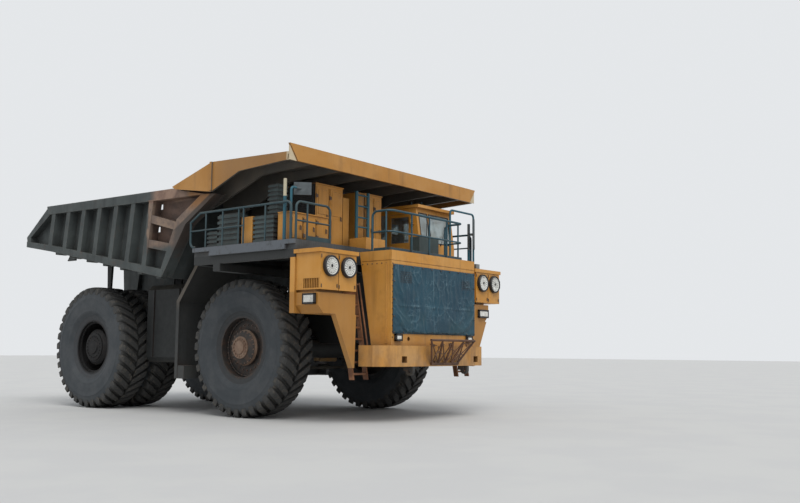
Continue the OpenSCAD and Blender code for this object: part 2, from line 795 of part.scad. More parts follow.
module cab_outline(inset) {
    polygon([[cab_y + inset, cab_z + inset], [cab_y + inset, sill_z],
        [cab_y + screen_lean + inset, cab_top - inset], [cab_back - inset, cab_top - inset],
        [cab_back - inset, cab_z + inset]]);
}

// Both edges of the narrow and of the wide windscreen pane
screen_x = [[cab_x + 100, cab_x + 430], [cab_x + 490, cab_x + cab_w - 130]];

module cab_shell() {
    out = cab_x + cab_w;
    rear = [cab_x + 150, out - 150];
    color(paint) difference() {
        union() {
            translate([cab_x, 0, 0]) rotate([90, 0, 90]) linear_extrude(cab_w) cab_outline(0);
            block([cab_x - 30, cab_y + 20, cab_top - 20], [out + 30, cab_back + 40, cab_top + 50]);
        }
        translate([cab_x + sheet, 0, 0]) rotate([90, 0, 90]) linear_extrude(cab_w - 2 * sheet)
            cab_outline(sheet);
        for (x = screen_x)
            block([x[0], cab_y - 1, sill_z + 60], [x[1], cab_y + 250, lintel_z]);
        block([cab_x - 1, door_y[0], door_z[0]], [out + 1, door_y[1], door_z[1]]);
        block([cab_x - 1, door_y[1] + 120, sill_z + 60], [out + 1, cab_back - 120, lintel_z]);
        block([rear[0], cab_back - sheet - 1, sill_z + 100], [rear[1], cab_back + 1, lintel_z - 40]);
    }
    color(steel_dark) both_sides_of_cab() for (z = hinge_at) {
        post(-hinge_out, door_y[0] - gap / 2, z - 10, z + 100, hinge_r);
        block([-hinge_out - 14, door_y[0] - 90, z - 30], [1, door_y[0] + 8, z - 5]);
    }
}

hinge_at = [door_z[0] + 150, door_z[1] - 250];

// Repeats a piece that is drawn on the cab's inner side face (x = 0) on both side faces
module both_sides_of_cab() {
    translate([cab_x, 0, 0]) children();
    translate([cab_x + cab_w, 0, 0]) mirror([1, 0, 0]) children();
}

// Door drawn with its outer face at x = 0, the cab on its +x side
door_frame = 70;

module door_panel() {
    z0 = door_z[0] + gap;
    z1 = door_z[1] - gap;
    y0 = door_y[0] + gap;
    y1 = door_y[1] - gap;
    pin_y = door_y[0] - gap / 2;
    color(paint) {
        difference() {
            block([0, y0, z0], [sheet, y1, z1]);
            block([-1, y0 + door_frame, sill_z + 40], [sheet + 1, y1 - door_frame, z1 - door_frame]);
        }
        for (z = hinge_at) difference() {
            union() {
                post(-hinge_out, pin_y, z + 4, z + 94, hinge_r + 14);
                block([-hinge_out, pin_y + 4, z + 4], [-6, y0 + 40, z + 94]);
                block([-12, y0 + 5, z + 4], [1, y0 + 40, z + 94]);
            }
            post(-hinge_out, pin_y, z, z + 100, hinge_r + pin_clear);
        }
        block([-40, y1 - 110, sill_z - 200], [-30, y1 - 80, sill_z - 20]);
        for (z = [sill_z - 200, sill_z - 40]) block([-31, y1 - 110, z], [1, y1 - 80, z + 20]);
    }
}

module door_pane() {
    edge = gap + door_frame + seat_gap;
    color(glass_tint) block([pane[0], door_y[0] + edge, sill_z + 40 + seat_gap],
        [pane[1], door_y[1] - edge, door_z[1] - edge]);
}

module door_right() { translate([cab_x, 0, 0]) door_panel(); }
module door_right_glass() { translate([cab_x, 0, 0]) door_pane(); }
module door_left() { translate([cab_x + cab_w, 0, 0]) mirror([1, 0, 0]) door_panel(); }
module door_left_glass() { translate([cab_x + cab_w, 0, 0]) mirror([1, 0, 0]) door_pane(); }

// Fixed panes of the cab
module cab_glass() {
    g = seat_gap;
    color(glass_tint) {
        for (x = screen_x) intersection() {
            block([x[0] + g, cab_y - 1, sill_z + 60 + g], [x[1] - g, cab_y + 250, lintel_z - g]);
            translate([cab_x, 0, 0]) rotate([90, 0, 90]) linear_extrude(cab_w) difference() {
                cab_outline(pane[0]);
                cab_outline(pane[1]);
            }
        }
        both_sides_of_cab() block([pane[0], door_y[1] + 120 + g, sill_z + 60 + g],
            [pane[1], cab_back - 120 - g, lintel_z - g]);
        block([cab_x + 150 + g, cab_back - pane[1], sill_z + 100 + g],
            [cab_x + cab_w - 150 - g, cab_back - pane[0], lintel_z - 40 - g]);
    }
}

// Driver's seat on its plinth
seat_at = [cab_x + 0.55 * cab_w, cab_y + 1050];
cab_floor = cab_z + sheet;

module cab_seat() {
    x = seat_at[0];
    y = seat_at[1];
    z = cab_floor + seat_gap;
    cushion = [z + 250, z + 380];
    color([0.15, 0.15, 0.16]) {
        block([x - 180, y - 180, z], [x + 180, y + 180, cushion[0]]);
        block([x - 260, y - 260, cushion[0] - 1], [x + 260, y + 240, cushion[1]]);
        side_cut(x - 250, x + 250, [[y + 120, cushion[1] - 1], [y + 240, cushion[1] - 1],
            [y + 340, z + 1000], [y + 230, z + 1000]]);
    }
}

// Dash panel, steering column and wheel
wheel_ring = [190, 16];

module cab_controls() {
    y = cab_y + sheet + seat_gap;
    z = cab_floor + seat_gap;
    x0 = cab_x + sheet + seat_gap;
    x1 = cab_x + cab_w - sheet - seat_gap;
    column = [seat_at[0], y + 200, z + 480];
    hub = column + [0, 180, 180];
    color([0.18, 0.18, 0.19]) {
        block([x0, y, z], [x1, y + 190, sill_z - 40]);
        rod(column - [0, 30, 30], hub, 25);
        translate(hub) rotate([-45, 0, 0]) {
            rotate_extrude($fn = medium) translate([wheel_ring[0], 0])
                circle(r = wheel_ring[1], $fn = small);
            for (a = [0, 120, 240]) rotate([0, 0, a]) rotate([0, 90, 0])
                cylinder(h = wheel_ring[0] - 5, r = 12, $fn = small);
        }
    }
}

// Equipment cabinets on the right wing: low one in front, tall ones behind
tall_front = deck_front + 730;
cabinet_top = canopy_under - 150;

module cabinets() {
    z = deck_top + seat_gap;
    low = cab_deck_top + seat_gap;
    out = -deck_half_w;
    inner = -wing_in;
    color(paint) {
        cabinet([out + 200, deck_front + 330, z], [out + 1350, tall_front - 70, deck_top + 590],
            [out + 580, out + 970]);
        cabinet([inner - 1330, tall_front, z], [inner - 450, tall_front + 950, cabinet_top],
            [inner - 900]);
        cabinet([inner + 40, tall_front, low], [inner + 280, tall_front + 500, cabinet_top - 20], []);
        cabinet([inner + 320, tall_front, low], [inner + 920, tall_front + 950, cabinet_top],
            [inner + 620]);
        block([inner - 400, deck_front + 70, z], [inner + 330, deck_front + 550, deck_top + 270]);
        block([out + 170, deck_front + 1390, z], [out + 420, deck_front + 1730, deck_top + 590]);
        block([inner - 400, tall_front + 30, z], [inner - 200, tall_front + 150, deck_top + 1220]);
    }
}

// Sheet metal cabinet with a drip edge and a recessed door seam at each x in seams
module cabinet(lo, hi, seams) {
    difference() {
        block(lo, hi);
        for (x = seams) block([x - 6, lo.y - 1, lo.z + 60], [x + 6, lo.y + 12, hi.z - 60]);
    }
    block([lo.x - 15, lo.y - 25, hi.z - 1], [hi.x + 15, hi.y, hi.z + 20]);
}

// Slatted air column and dark equipment boxes on the deck
module air_columns() {
    z = deck_top + seat_gap;
    out = -deck_half_w + 150;
    box_w = 300;
    box_y = [deck_front + 740, deck_front + 1350, deck_front + 1840, deck_front + 2490,
        deck_front + 2530, deck_front + 2860];
    color(column_grey) {
        slatted([out + 330, deck_front + 980, z], [out + 630, deck_front + 1280, deck_top + 1300], 14);
        slatted([out, box_y[0], z], [out + box_w, box_y[1], deck_top + 580], 6);
        slatted([out, box_y[2], z], [out + box_w, box_y[3], deck_top + 710], 6);
        slatted([out + 30, box_y[4], z], [out + box_w, box_y[5], deck_top + 370], 4);
        block([cab_x - 480, deck_front - 180, cab_deck_top + seat_gap],
            [cab_x + 280, deck_front + 100, cab_deck_top + 720]);
    }
}

// Box whose outer faces carry level slats
module slatted(lo, hi, count) {
    inset = [25, 25, 0];
    pitch = (hi.z - lo.z) / count;
    block(lo + inset, hi - inset);
    for (i = [0:count - 1]) block([lo.x, lo.y, lo.z + (i + 0.2) * pitch],
        [hi.x, hi.y, lo.z + (i + 0.75) * pitch]);
}

// Climbing rack beside the tall cabinets and the marker pole at the right front corner
rack_x = [-wing_in - 130, -wing_in + 270];
rungs_down = [820, 600, 340, 90];

module rack() {
    y = tall_front - 140;
    foot = [deck_top + seat_gap, cab_deck_top + seat_gap];
    color(rail_blue) {
        for (i = [0, 1]) post(rack_x[i], y, foot[i], cabinet_top - 10, 38);
        for (d = rungs_down) bar_x(rack_x[0], rack_x[1], y, cabinet_top - d, 18, small);
        post(-rail_x + 70, deck_front + 380, foot[0], deck_top + 1270, 35);
    }
}

// Mirrors on bent tubes at the front corners
mirror_r = [180, 130];
mirror_l = [200, 370];

module mirrors() {
    zr = deck_top + seat_gap;
    zl = cab_deck_top + seat_gap;
    y = deck_front + 190;
    yl = deck_front + 30;
    foot_r = -rail_x + tube_d + 10;
    arm_r = [foot_r + 320, deck_top + 1080];
    leg_x = [cab_x + 1060, rail_x - tube_d - 10];
    arm_l_z = cab_deck_top + 1040;
    arm_l_x = leg_x[1] - 110;
    color(rail_blue) {
        upright_x(y) bent_tube([[foot_r, zr], [foot_r, arm_r[1]], arm_r], tube_r, 60);
        upright_x(yl) bent_tube([[leg_x[0], zl], [leg_x[0], cab_top + 30], [leg_x[1], cab_top + 30],
            [leg_x[1], zl]], tube_r, 90);
        upright_x(yl) bent_tube([[arm_l_x - 10, arm_l_z], [leg_x[1], arm_l_z]], post_r, 20);
        translate([arm_l_x, yl, arm_l_z]) rotate([0, 0, 33]) block([-18, -70, -30], [18, 30, 30]);
        post(rail_x - 80, deck_front + 160, zl, cab_deck_top + 1330, 35);
    }
    color([0.66, 0.68, 0.68]) {
        translate([arm_r[0], y, arm_r[1]]) rotate([0, 0, -43])
            block([-mirror_r[0], -45, -mirror_r[1]], [mirror_r[0], -10, mirror_r[1]]);
        translate([arm_l_x, yl, arm_l_z]) rotate([0, 0, 33])
            block([-mirror_l[0], -95, -mirror_l[1]], [mirror_l[0], -60, mirror_l[1]]);
    }
}

// Fuel and hydraulic tanks between the wheels, hung on the rails
tank_x = [1300, 2300];
tank_y = [front_y + 2200, rear_y - tyre_r - 130];
tank_z = [1160, 3040];

module side_tanks() {
    edge = 120;
    color(steel_dark) both_sides() {
        front_cut(tank_y[0], tank_y[1], [[tank_x[0], tank_z[0]], [tank_x[1] - edge, tank_z[0]],
            [tank_x[1], tank_z[0] + edge], [tank_x[1], tank_z[1] - edge],
            [tank_x[1] - edge, tank_z[1]], [tank_x[0], tank_z[1]]]);
        block([rail_out + seat_gap, tank_y[0], 2100], [tank_x[0] + 1, tank_y[0] + 180, 2600]);
        for (y = [tank_y[0] + 200, tank_y[1] - 280]) block([tank_x[1] - 1, y, tank_z[0] + edge],
            [tank_x[1] + 25, y + 80, tank_z[1] - edge]);
    }
}

// Splash plates behind the front wheels: fixed to the tanks, flanged along the outer edge and
// sloping up to the deck on each side
splash_x = [tank_x[0] - 50, tank_x[1] + 300];

module mudguards() {
    plate = 40;
    flange = [20, 100];
    back = tank_y[0] - 60;
    foot_z = [800, 1100];
    color([0.24, 0.24, 0.23]) {
        for (s = [-1, 1]) mirror([s < 0 ? 1 : 0, 0, 0]) {
            top = s < 0 ? deck_top - deck_t : portal_top;
            side_cut(splash_x[0], splash_x[1] - 1, splash_line(top, back, plate, foot_z[0]));
            side_cut(splash_x[1] - flange[0], splash_x[1],
                splash_line(top, back + 1, flange[1], foot_z[0] + 1));
            block([splash_x[1] - 380, back - 330, foot_z[0]], [splash_x[1] - 10, back - 20, foot_z[1]]);
            for (z = [1500, 2500]) block([tank_x[0] + 200, back - 20, z],
                [tank_x[1] - 200, tank_y[0] - seat_gap, z + 60]);
        }
    }
}

// Outline of a splash plate of thickness t: upright, then sloping up to a level piece at top
function splash_line(top, back, t, low) = let (kink = [back, 2600], lean = 0.79,
    bend = kink[0] - lean * (top - kink[1]), tip = deck_back + 20)
    [[tip, top - t], [bend - 0.3 * t, top - t], [kink[0] - t, kink[1] - 0.4 * t],
    [back - t, low], [back, low], kink, [bend, top], [tip, top]];

// Body: the side outline as (y, z), front bottom corner first
bed_front = rear_y - 3330;
tail_y = rear_y + rear_overhang;
low_front = [bed_front, 3110];
low_kink = [rear_y + 1310, 3990];
low_tail = [tail_y - 80, 4200];
top_tail = [tail_y, 4470];
rail_back = [rear_y + 1660, 5220];
rail_front = [bed_front - 490, 5130];
wall_kink = [bed_front - 450, 4420];
side_kink = [bed_front - 800, 4280];
gusset = [bed_front - 1840, canopy_top - 745];
canopy_peak = [bed_front - 1850, canopy_top - 90];
canopy_tip = [bed_front - 4140, canopy_top - 165];
lip_low = [bed_front - 4265, canopy_top - 340];
lip_t = 50;
lip_taper = 220;
under_kink = [bed_front - 2740, canopy_under];
floor_t = 270;
wall_x = bed_half_w - 300;

function low_z(y) = y < low_kink[0]
    ? mix(low_front[1], low_kink[1], (y - low_front[0]) / (low_kink[0] - low_front[0]))
    : mix(low_kink[1], low_tail[1], (y - low_kink[0]) / (low_tail[0] - low_kink[0]));
function wall_y(z) = mix(low_front[0], wall_kink[0],
    (z - low_front[1]) / (wall_kink[1] - low_front[1]));

// Floor: plate, cross ribs, keel beams over the frame rails, hinge ears and cylinder ears
module bed_floor() {
    up = [0, floor_t];
    plate = [0, floor_t - bed_plate];
    lip = [160, 26];
    rib_w = 160;
    ear_r = 230;
    front_z = [low_front[1] + floor_t - bed_plate, low_front[1] + floor_t];
    inner = [bed_plate + seat_gap, 0];
    half = wall_x - seat_gap;
    color(bed_grey) difference() {
        union() {
            side_cut(-half, half, [[wall_y(front_z[0]), front_z[0]] + inner, low_kink + plate,
                low_tail + plate, low_tail, top_tail, low_kink + up,
                [wall_y(front_z[1]), front_z[1]] + inner]);
            side_cut(-half, half, [low_tail - lip, low_tail, low_tail + plate,
                low_tail + plate - lip]);
            for (i = [0:6]) {
                y = bed_front + 80 + i * 720;
                side_cut(-half, half, [[y, low_z(y)], [y + rib_w, low_z(y + rib_w)],
                    [y + rib_w, low_z(y + rib_w) + floor_t - bed_plate + 2],
                    [y, low_z(y) + floor_t - bed_plate + 2]]);
            }
            both_sides() {
                side_cut(rail_in, rail_out, [[bed_front + 60, keel_z], [hinge_y + 300, keel_z],
                    [hinge_y + 500, low_z(hinge_y + 500) + 100], [low_kink[0], low_kink[1] + 150],
                    [bed_front + 60, low_z(bed_front + 60) + 150]]);
                bar_x(ear_x, ear_x + ear_w, hinge_y, hinge_z, ear_r);
                side_cut(ear_x, ear_x + ear_w, [[hinge_y - ear_r, hinge_z], [hinge_y + ear_r, hinge_z],
                    [hinge_y + 380, low_z(hinge_y + 380) + 100],
                    [hinge_y - 480, low_z(hinge_y - 480) + 100]]);
                side_cut(rail_in, ear_x + ear_w, [[hinge_y - 200, keel_z + 400],
                    [hinge_y + 200, keel_z + 400], [hinge_y + 200, low_z(hinge_y + 200) + 50],
                    [hinge_y - 200, low_z(hinge_y - 200) + 50]]);
                for (s = [-1, 1]) hoist_ear(s);
                tail_prop(half);
            }
        }
        for (s = [-1, 1]) translate([s * (ear_x + ear_w / 2), 0, 0])
            bar_x(-ear_w, ear_w, hinge_y, hinge_z, pin_r + pin_clear);
    }
}

// Small bracket below the floor near its tail
module tail_prop(half) {
    y = tail_y - 1650;
    reach = [260, 350];
    low = 3790;
    side_cut(half - 260, half - 200, [[y + reach[0], low_z(y + reach[0]) + 60],
        [y + reach[0], low + 110], [y + reach[1], low], [y, low], [y, low_z(y) + 60]]);
}

// One of the two plates beside the eye of a hoist cylinder's rod
module hoist_ear(side) {
    t = 50;
    x0 = hoist_x + side * (hoist_eye_w / 2 + seat_gap) + (side < 0 ? -t : 0);
    y = hoist_head[0];
    z = hoist_head[1];
    side_cut(x0, x0 + t, [[y - 130, z - 110], [y + 130, z - 110], [y + 230, low_z(y) + 100],
        [y - 230, low_z(y) + 60]]);
    bar_x(side > 0 ? x0 + t - 1 : x0 - 30, side > 0 ? x0 + t + 30 : x0 + 1, y, z, 80);
}

// Side wall: plate, box rails, leaning trapezoid ribs, a flange along the front edge and two
// falling bars behind it. The wall has a slit above each bar. Drawn for the truck's left side.
rib_lean = 8;
rib_first = bed_front + 700;
rim_h = 220;
bar_h = 190;
bar_z = [4640, 4040];
bar_fall = [0.26, 0.19];
slit = [160, 135];
slit_at = [[bed_front + 330, 4740], [bed_front + 400, 4210]];

module bed_side() {
    x = wall_x + bed_plate;
    flush = bed_half_w - 10;
    bar_end = rib_first - 60;
    color(bed_grey) difference() {
        union() {
            side_cut(wall_x, x, [low_front, low_kink, low_tail, top_tail, rail_back,
                rail_front, gusset, side_kink]);
            side_cut(wall_x, bed_half_w, [rail_front, rail_front - [130, 70],
                mix(rail_front, gusset, 0.72) - [0, 60], rail_front - [-300, rim_h],
                rail_back - [60, rim_h], rail_back]);
            side_cut(x - 1, flush - 40, [rail_back - [60, rim_h], rail_back,
                top_tail, low_tail, low_tail - [170, 20], top_tail - [200, 10]]);
            side_cut(x - 1, flush, [low_front, low_kink, low_tail,
                low_tail + [0, 150], low_kink + [-20, 160], low_front + [-50, 170]]);
            side_cut(x - 1, flush - 5, [low_front + [-20, 30], low_front + [100, 60],
                wall_kink + [-30, -10], mix(rail_front, gusset, 0.62) - [0, 70],
                mix(rail_front, gusset, 0.97) - [0, 20], side_kink]);
            for (i = [0:rib_count - 1]) bed_rib(rib_first + i * rib_pitch);
            for (i = [0, 1]) {
                run = bar_end - wall_y(bar_z[i]);
                side_cut(x - 1, flush - 10, [[bar_end, bar_z[i]], [bar_end, bar_z[i] - bar_h],
                    [bar_end - run, bar_z[i] - bar_h - run * bar_fall[i]],
                    [bar_end - run, bar_z[i] - run * bar_fall[i]]]);
            }
        }
        for (s = slit_at) block([wall_x - 1, s[0], s[1]], [x + 1, s[0] + slit[0], s[1] + slit[1]]);
    }
}

// Rib on a side wall, square to the middle of the wall's fan of edges
module bed_rib(y) {
    x = wall_x + bed_plate;
    z = low_z(y) + 110;
    h = (rail_back[1] - rim_h - z) / cos(rib_lean);
    foot = 110;
    face = 80;
    translate([0, y, z]) rotate([rib_lean, 0, 0]) linear_extrude(h) polygon([[x - 1, -foot],
        [x + rib_depth, -face], [x + rib_depth, face], [x - 1, foot]]);
}

module bed_side_left() { bed_side(); }
module bed_side_right() { mirror([1, 0, 0]) bed_side(); }

// Front wall between the sides
module bed_front_wall() {
    half = wall_x - seat_gap;
    color(bed_grey) side_cut(-half, half, [low_front, wall_kink, rail_front,
        rail_front + [bed_plate, 0], wall_kink + [bed_plate, 0], low_front + [bed_plate, 0]]);
}

// Canopy: top sheet, upright lip with folded corners, side skirts and ribs below the sheet
module bed_canopy() {
    t = 50;
    skirt_t = 50;
    strap = [51, 30];
    lip_y = lip_low[0];
    seam = [lip_y + lip_t / 2, canopy_tip[1] - 5];
    foot = [lip_y + lip_t / 2, lip_low[1] + 5];
    color(paint) {
        side_cut(-canopy_half_w, canopy_half_w, [rail_front - [0.5, 0], canopy_peak, canopy_tip, seam,
            seam - [0, t], canopy_tip - [0, t], canopy_peak - [0, t], rail_front - [120, t - 40]]);
        front_cut(lip_y, lip_y + lip_t, [[-canopy_half_w - 15, canopy_top],
            [lip_taper - canopy_half_w, lip_low[1]], [canopy_half_w - lip_taper, lip_low[1]],
            [canopy_half_w + 15, canopy_top]]);
        block([2 - canopy_half_w, lip_y + 20, lip_low[1] + 3],
            [canopy_half_w - 2, lip_y + lip_t - 2, canopy_top - 3]);
        both_sides() side_cut(canopy_half_w - skirt_t, canopy_half_w, [rail_front, canopy_peak,
            canopy_tip, canopy_tip - [60, 2], foot + [70, 0], under_kink, gusset,
            rail_front - [130, 70]]);
        both_sides() side_cut(canopy_half_w - strap[0], canopy_half_w + strap[1],
            [canopy_peak + [40, 0], canopy_peak - [30, 0], [canopy_peak[0] - 30, gusset[1] + 20],
            [canopy_peak[0] + 40, gusset[1] + 20]]);
    }
    color(bed_grey) for (i = [0:6]) {
        x = -wall_x + 200 + i * (2 * wall_x - 400) / 6;
        side_cut(x - 30, x + 30, [rail_front - [0.3, 20], canopy_peak - [0, 20], canopy_tip - [0, 20],
            foot, under_kink, gusset, wall_kink - [0.3, 0]]);
    }
}

// Tapered bars that hang between the tyres of each rear pair
module rock_ejectors() {
    y = rear_y + 540;
    low = 2350;
    tip = 25;
    root = 110;
    color(steel_dark) both_sides() translate([rear_track / 2, 0, 0]) side_cut(-30, 30, [[y - tip, low],
        [y + tip, low], [y + root, low_z(y + root) - seat_gap], [y - root, low_z(y - root) - seat_gap]]);
}

// Hoist cylinders: the barrel turns on the frame, the rod's eye sits between the body's ears
hoist_d2 = hoist_head - hoist_foot;
hoist_len = norm(hoist_d2);
hoist_lean = atan2(hoist_d2[0], hoist_d2[1]);
hoist_barrel_l = hoist_len - 200;
hoist_rod_r = 85;

// Stands a cylinder drawn upwards along z from its foot pin in its real place
module hoist_place() {
    translate([hoist_x, hoist_foot[0], hoist_foot[1]]) rotate([-hoist_lean, 0, 0]) children();
}

module hoist_barrel() {
    color(paint) hoist_place() difference() {
        union() {
            bar_x(-hoist_eye_w / 2, hoist_eye_w / 2, 0, 0, 120);
            translate([0, 0, 80]) cylinder(h = hoist_barrel_l - 80, r = hoist_d / 2, $fn = fine);
        }
        bar_x(-hoist_eye_w / 2 - 1, hoist_eye_w / 2 + 1, 0, 0, foot_pin_r + pin_clear);
        bar_x(-hoist_d, -hoist_eye_w / 2, 0, 0, foot_pin_r + 45);
        bar_x(hoist_eye_w / 2, hoist_d, 0, 0, foot_pin_r + 45);
        translate([0, 0, 130]) cylinder(h = hoist_barrel_l - 180, r = hoist_d / 2 - 25, $fn = fine);
        translate([0, 0, 130]) cylinder(h = hoist_len, r = hoist_rod_r + pin_clear, $fn = medium);
    }
}

module hoist_rod() {
    color(rod_steel) hoist_place() {
        translate([0, 0, 145]) cylinder(h = 80, r = hoist_d / 2 - 25 - pin_clear, $fn = fine);
        translate([0, 0, 224]) cylinder(h = hoist_len - 284, r = hoist_rod_r, $fn = medium);
        bar_x(-hoist_eye_w / 2, hoist_eye_w / 2, 0, hoist_len, 100);
    }
}

module hoist_barrel_left() { hoist_barrel(); }
module hoist_barrel_right() { mirror([1, 0, 0]) hoist_barrel(); }
module hoist_rod_left() { hoist_rod(); }
module hoist_rod_right() { mirror([1, 0, 0]) hoist_rod(); }

// Tyre on the x axis: carcass with bar lugs across the tread, which end at the shoulders
rim_r = rim_d / 2;
bead_r = rim_r - 30;
tread_w = 0.94 * tyre_w;
lug_root = tyre_r - lug_h;

module tyre() {
    w = tyre_w / 2;
    crown = lug_root - 60;
    side = [[bead_r, w - 130], [rim_r + 60, w - 50], [rim_r + 300, w], [crown, w - 30]];
    rotate([0, 90, 0]) {
        rotate_extrude($fn = rubber_sides) polygon(concat(side, [for (i = [len(side) - 1:-1:0])
            [side[i].x, -side[i].y]]));
        translate([0, 0, -tread_w / 2]) linear_extrude(tread_w) lug_ring();
    }
}

// Gear-like ring with lug_count teeth out to the tyre's radius
module lug_ring() {
    step = 360 / lug_count;
    tooth = [[0, lug_root], [0.06, tyre_r], [0.60, tyre_r], [0.68, lug_root]];
    difference() {
        polygon([for (i = [0:lug_count - 1]) for (k = tooth)
            let (a = (i + k[0]) * step) [k[1] * cos(a), k[1] * sin(a)]]);
        circle(r = lug_root - 150, $fn = medium);
    }
}

module tyre_front_left() { color(rubber) translate([front_track / 2, front_y, hub_z]) tyre(); }
module tyre_front_right() { mirror([1, 0, 0]) tyre_front_left(); }
module tyres_rear_left() {
    color(rubber) for (s = [-1, 1])
        translate([rear_track / 2 + s * (tyre_w + dual_gap) / 2, rear_y, hub_z]) tyre();
}
module tyres_rear_right() { mirror([1, 0, 0]) tyres_rear_left(); }

// Front rim with its hub, which runs on the knuckle's spindle
stub_r = 190;

module rim_front() {
    c = front_track / 2;
    w = tyre_w / 2;
    translate([c, front_y, hub_z]) rotate([0, 90, 0]) {
        color([0.28, 0.27, 0.26]) rotate_extrude($fn = fine) polygon([
            [stub_r + pin_clear, -150], [stub_r + 150, -150], [stub_r + 150, 40], [rim_r - 140, 40],
            [rim_r - 140, -w + 130], [bead_r - seat_gap, -w + 130], [bead_r - seat_gap, w - 130],
            [rim_r - 140, w - 130], [rim_r - 140, 120], [stub_r + 200, 120], [stub_r + 180, 260],
            [stub_r + 60, 330], [0, 330], [0, 200], [stub_r + pin_clear, 200]]);
    }
}

module rim_front_left() { rim_front(); }
module rim_front_right() { mirror([1, 0, 0]) rim_front(); }

// Rear rims and hub of one tyre pair, which run on the axle's spindle
module rims_rear() {
    c = rear_track / 2;
    w = dual_w / 2;
    translate([c, rear_y, hub_z]) rotate([0, 90, 0]) {
        color([0.22, 0.22, 0.22]) rotate_extrude($fn = fine) polygon([
            [spindle_r + pin_clear, -w + 40], [spindle_r + 160, -w + 40], [spindle_r + 160, -60],
            [rim_r - 150, -60], [rim_r - 150, -w + 130], [bead_r - seat_gap, -w + 130],
            [bead_r - seat_gap, w - 130], [rim_r - 150, w - 130], [rim_r - 150, 60],
            [spindle_r + 190, 60], [spindle_r + 190, w - 260], [spindle_r + 120, w - 190],
            [0, w - 190], [0, w - 200 + pin_clear], [spindle_r + pin_clear, w - 200 + pin_clear]]);
    }
}

module rims_rear_left() { rims_rear(); }
module rims_rear_right() { mirror([1, 0, 0]) rims_rear(); }

// Steering knuckle: kingpin, boss, spindle and arm. Drawn for the truck's left side.
module knuckle() {
    boss_h = fork_gap - 2 * move_gap;
    pin_low = arm_top - arm_t;
    color(steel_dark) {
        translate([kingpin_x, front_y, hub_z - boss_h / 2]) cylinder(h = boss_h, r = 165, $fn = medium);
        translate([kingpin_x, front_y, pin_low])
            cylinder(h = hub_z + fork_gap / 2 + fork_t + 20 - pin_low, r = kingpin_r, $fn = medium);
        bar_x(kingpin_x, kingpin_x + 330, front_y, hub_z, boss_h / 2 - 2);
        bar_x(kingpin_x + 329, front_track / 2 + 190, front_y, hub_z, stub_r);
        translate([kingpin_x, front_y, pin_low]) cylinder(h = arm_t, r = 130, $fn = medium);
        block([kingpin_x - 80, front_y, pin_low], [kingpin_x + 80, front_y + arm_l, arm_top]);
        translate([kingpin_x, front_y + arm_l, pin_low]) cylinder(h = arm_t, r = 105, $fn = medium);
        post(kingpin_x, front_y + arm_l, pin_low - 140, pin_low + 5, tie_pin_r, medium);
    }
}

tie_pin_r = 30;
tie_z = arm_top - arm_t - 75;

module knuckle_left() { knuckle(); }
module knuckle_right() { mirror([1, 0, 0]) knuckle(); }

// Tie rod between the two steering arms
module tie_rod() {
    y = front_y + arm_l;
    color(steel_dark) difference() {
        union() {
            bar_x(-kingpin_x + 50, kingpin_x - 50, y, tie_z, 38);
            both_sides() translate([kingpin_x, y, tie_z - 45]) cylinder(h = 90, r = 75, $fn = medium);
        }
        both_sides() translate([kingpin_x, y, tie_z - 46])
            cylinder(h = 92, r = tie_pin_r + pin_clear, $fn = medium);
    }
}

// Steering cylinders: the barrel turns on the frame, the rod's eye rests on the steering arm
steer_d2 = [kingpin_x, front_y + arm_l] - steer_base;
steer_len = norm(steer_d2);
steer_turn = atan2(steer_d2[1], steer_d2[0]);
steer_barrel_l = steer_len - 365;
steer_piston = steer_len - 665;
steer_rod_r = 30;

module steer_place() {
    translate([steer_base[0], steer_base[1], steer_z]) rotate([0, 0, steer_turn]) children();
}

module steer_barrel() {
    color(paint) steer_place() difference() {
        union() {
            translate([0, 0, -eye_t / 2]) cylinder(h = eye_t, r = 70, $fn = medium);
            bar_x(75, steer_barrel_l, 0, 0, steer_d / 2);
            block([0, -40, -40], [80, 40, 40]);
        }
        translate([0, 0, -eye_t / 2 - 1])
            cylinder(h = eye_t + 2, r = steer_pin_r + pin_clear, $fn = medium);
        bar_x(105, steer_barrel_l - 25, 0, 0, steer_d / 2 - 15);
        bar_x(105, steer_len, 0, 0, steer_rod_r + pin_clear);
    }
}

module steer_rod() {
    color(rod_steel) steer_place() {
        bar_x(steer_piston, steer_piston + 50, 0, 0, steer_d / 2 - 15 - pin_clear);
        bar_x(steer_piston + 49, steer_len - 60, 0, 0, steer_rod_r);
        translate([steer_len, 0, -eye_t / 2]) cylinder(h = eye_t, r = 75, $fn = medium);
    }
}

module steer_barrel_left() { steer_barrel(); }
module steer_barrel_right() { mirror([1, 0, 0]) steer_barrel(); }
module steer_rod_left() { steer_rod(); }
module steer_rod_right() { mirror([1, 0, 0]) steer_rod(); }

frame();
front_axle();
rear_axle();
suspension_struts();
bumper();
tow_eyes();
radiator_housing();
radiator_core();
radiator_cover();
engine_block();
deck();
lamp_boxes();
headlamps();
rails_right();
rails_front();
rails_left();
ladders();
front_step();
cab_shell();
cab_glass();
cab_seat();
cab_controls();
cabinets();
air_columns();
rack();
mirrors();
lamp_bezels();
side_tanks();
mudguards();
bed_floor();
bed_side_left();
bed_side_right();
bed_front_wall();
bed_canopy();
rock_ejectors();
hoist_barrel_left();
hoist_rod_left();
hoist_barrel_right();
hoist_rod_right();
tyre_front_left();
rim_front_left();
tyre_front_right();
rim_front_right();
tyres_rear_left();
rims_rear_left();
tyres_rear_right();
rims_rear_right();
knuckle_left();
knuckle_right();
tie_rod();
steer_barrel_left();
steer_rod_left();
steer_barrel_right();
steer_rod_right();
door_left();
door_left_glass();
door_right();
door_right_glass();
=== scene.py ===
import functools
import json
import math
import random

import bmesh
import bpy
from mathutils import Matrix, Vector, noise


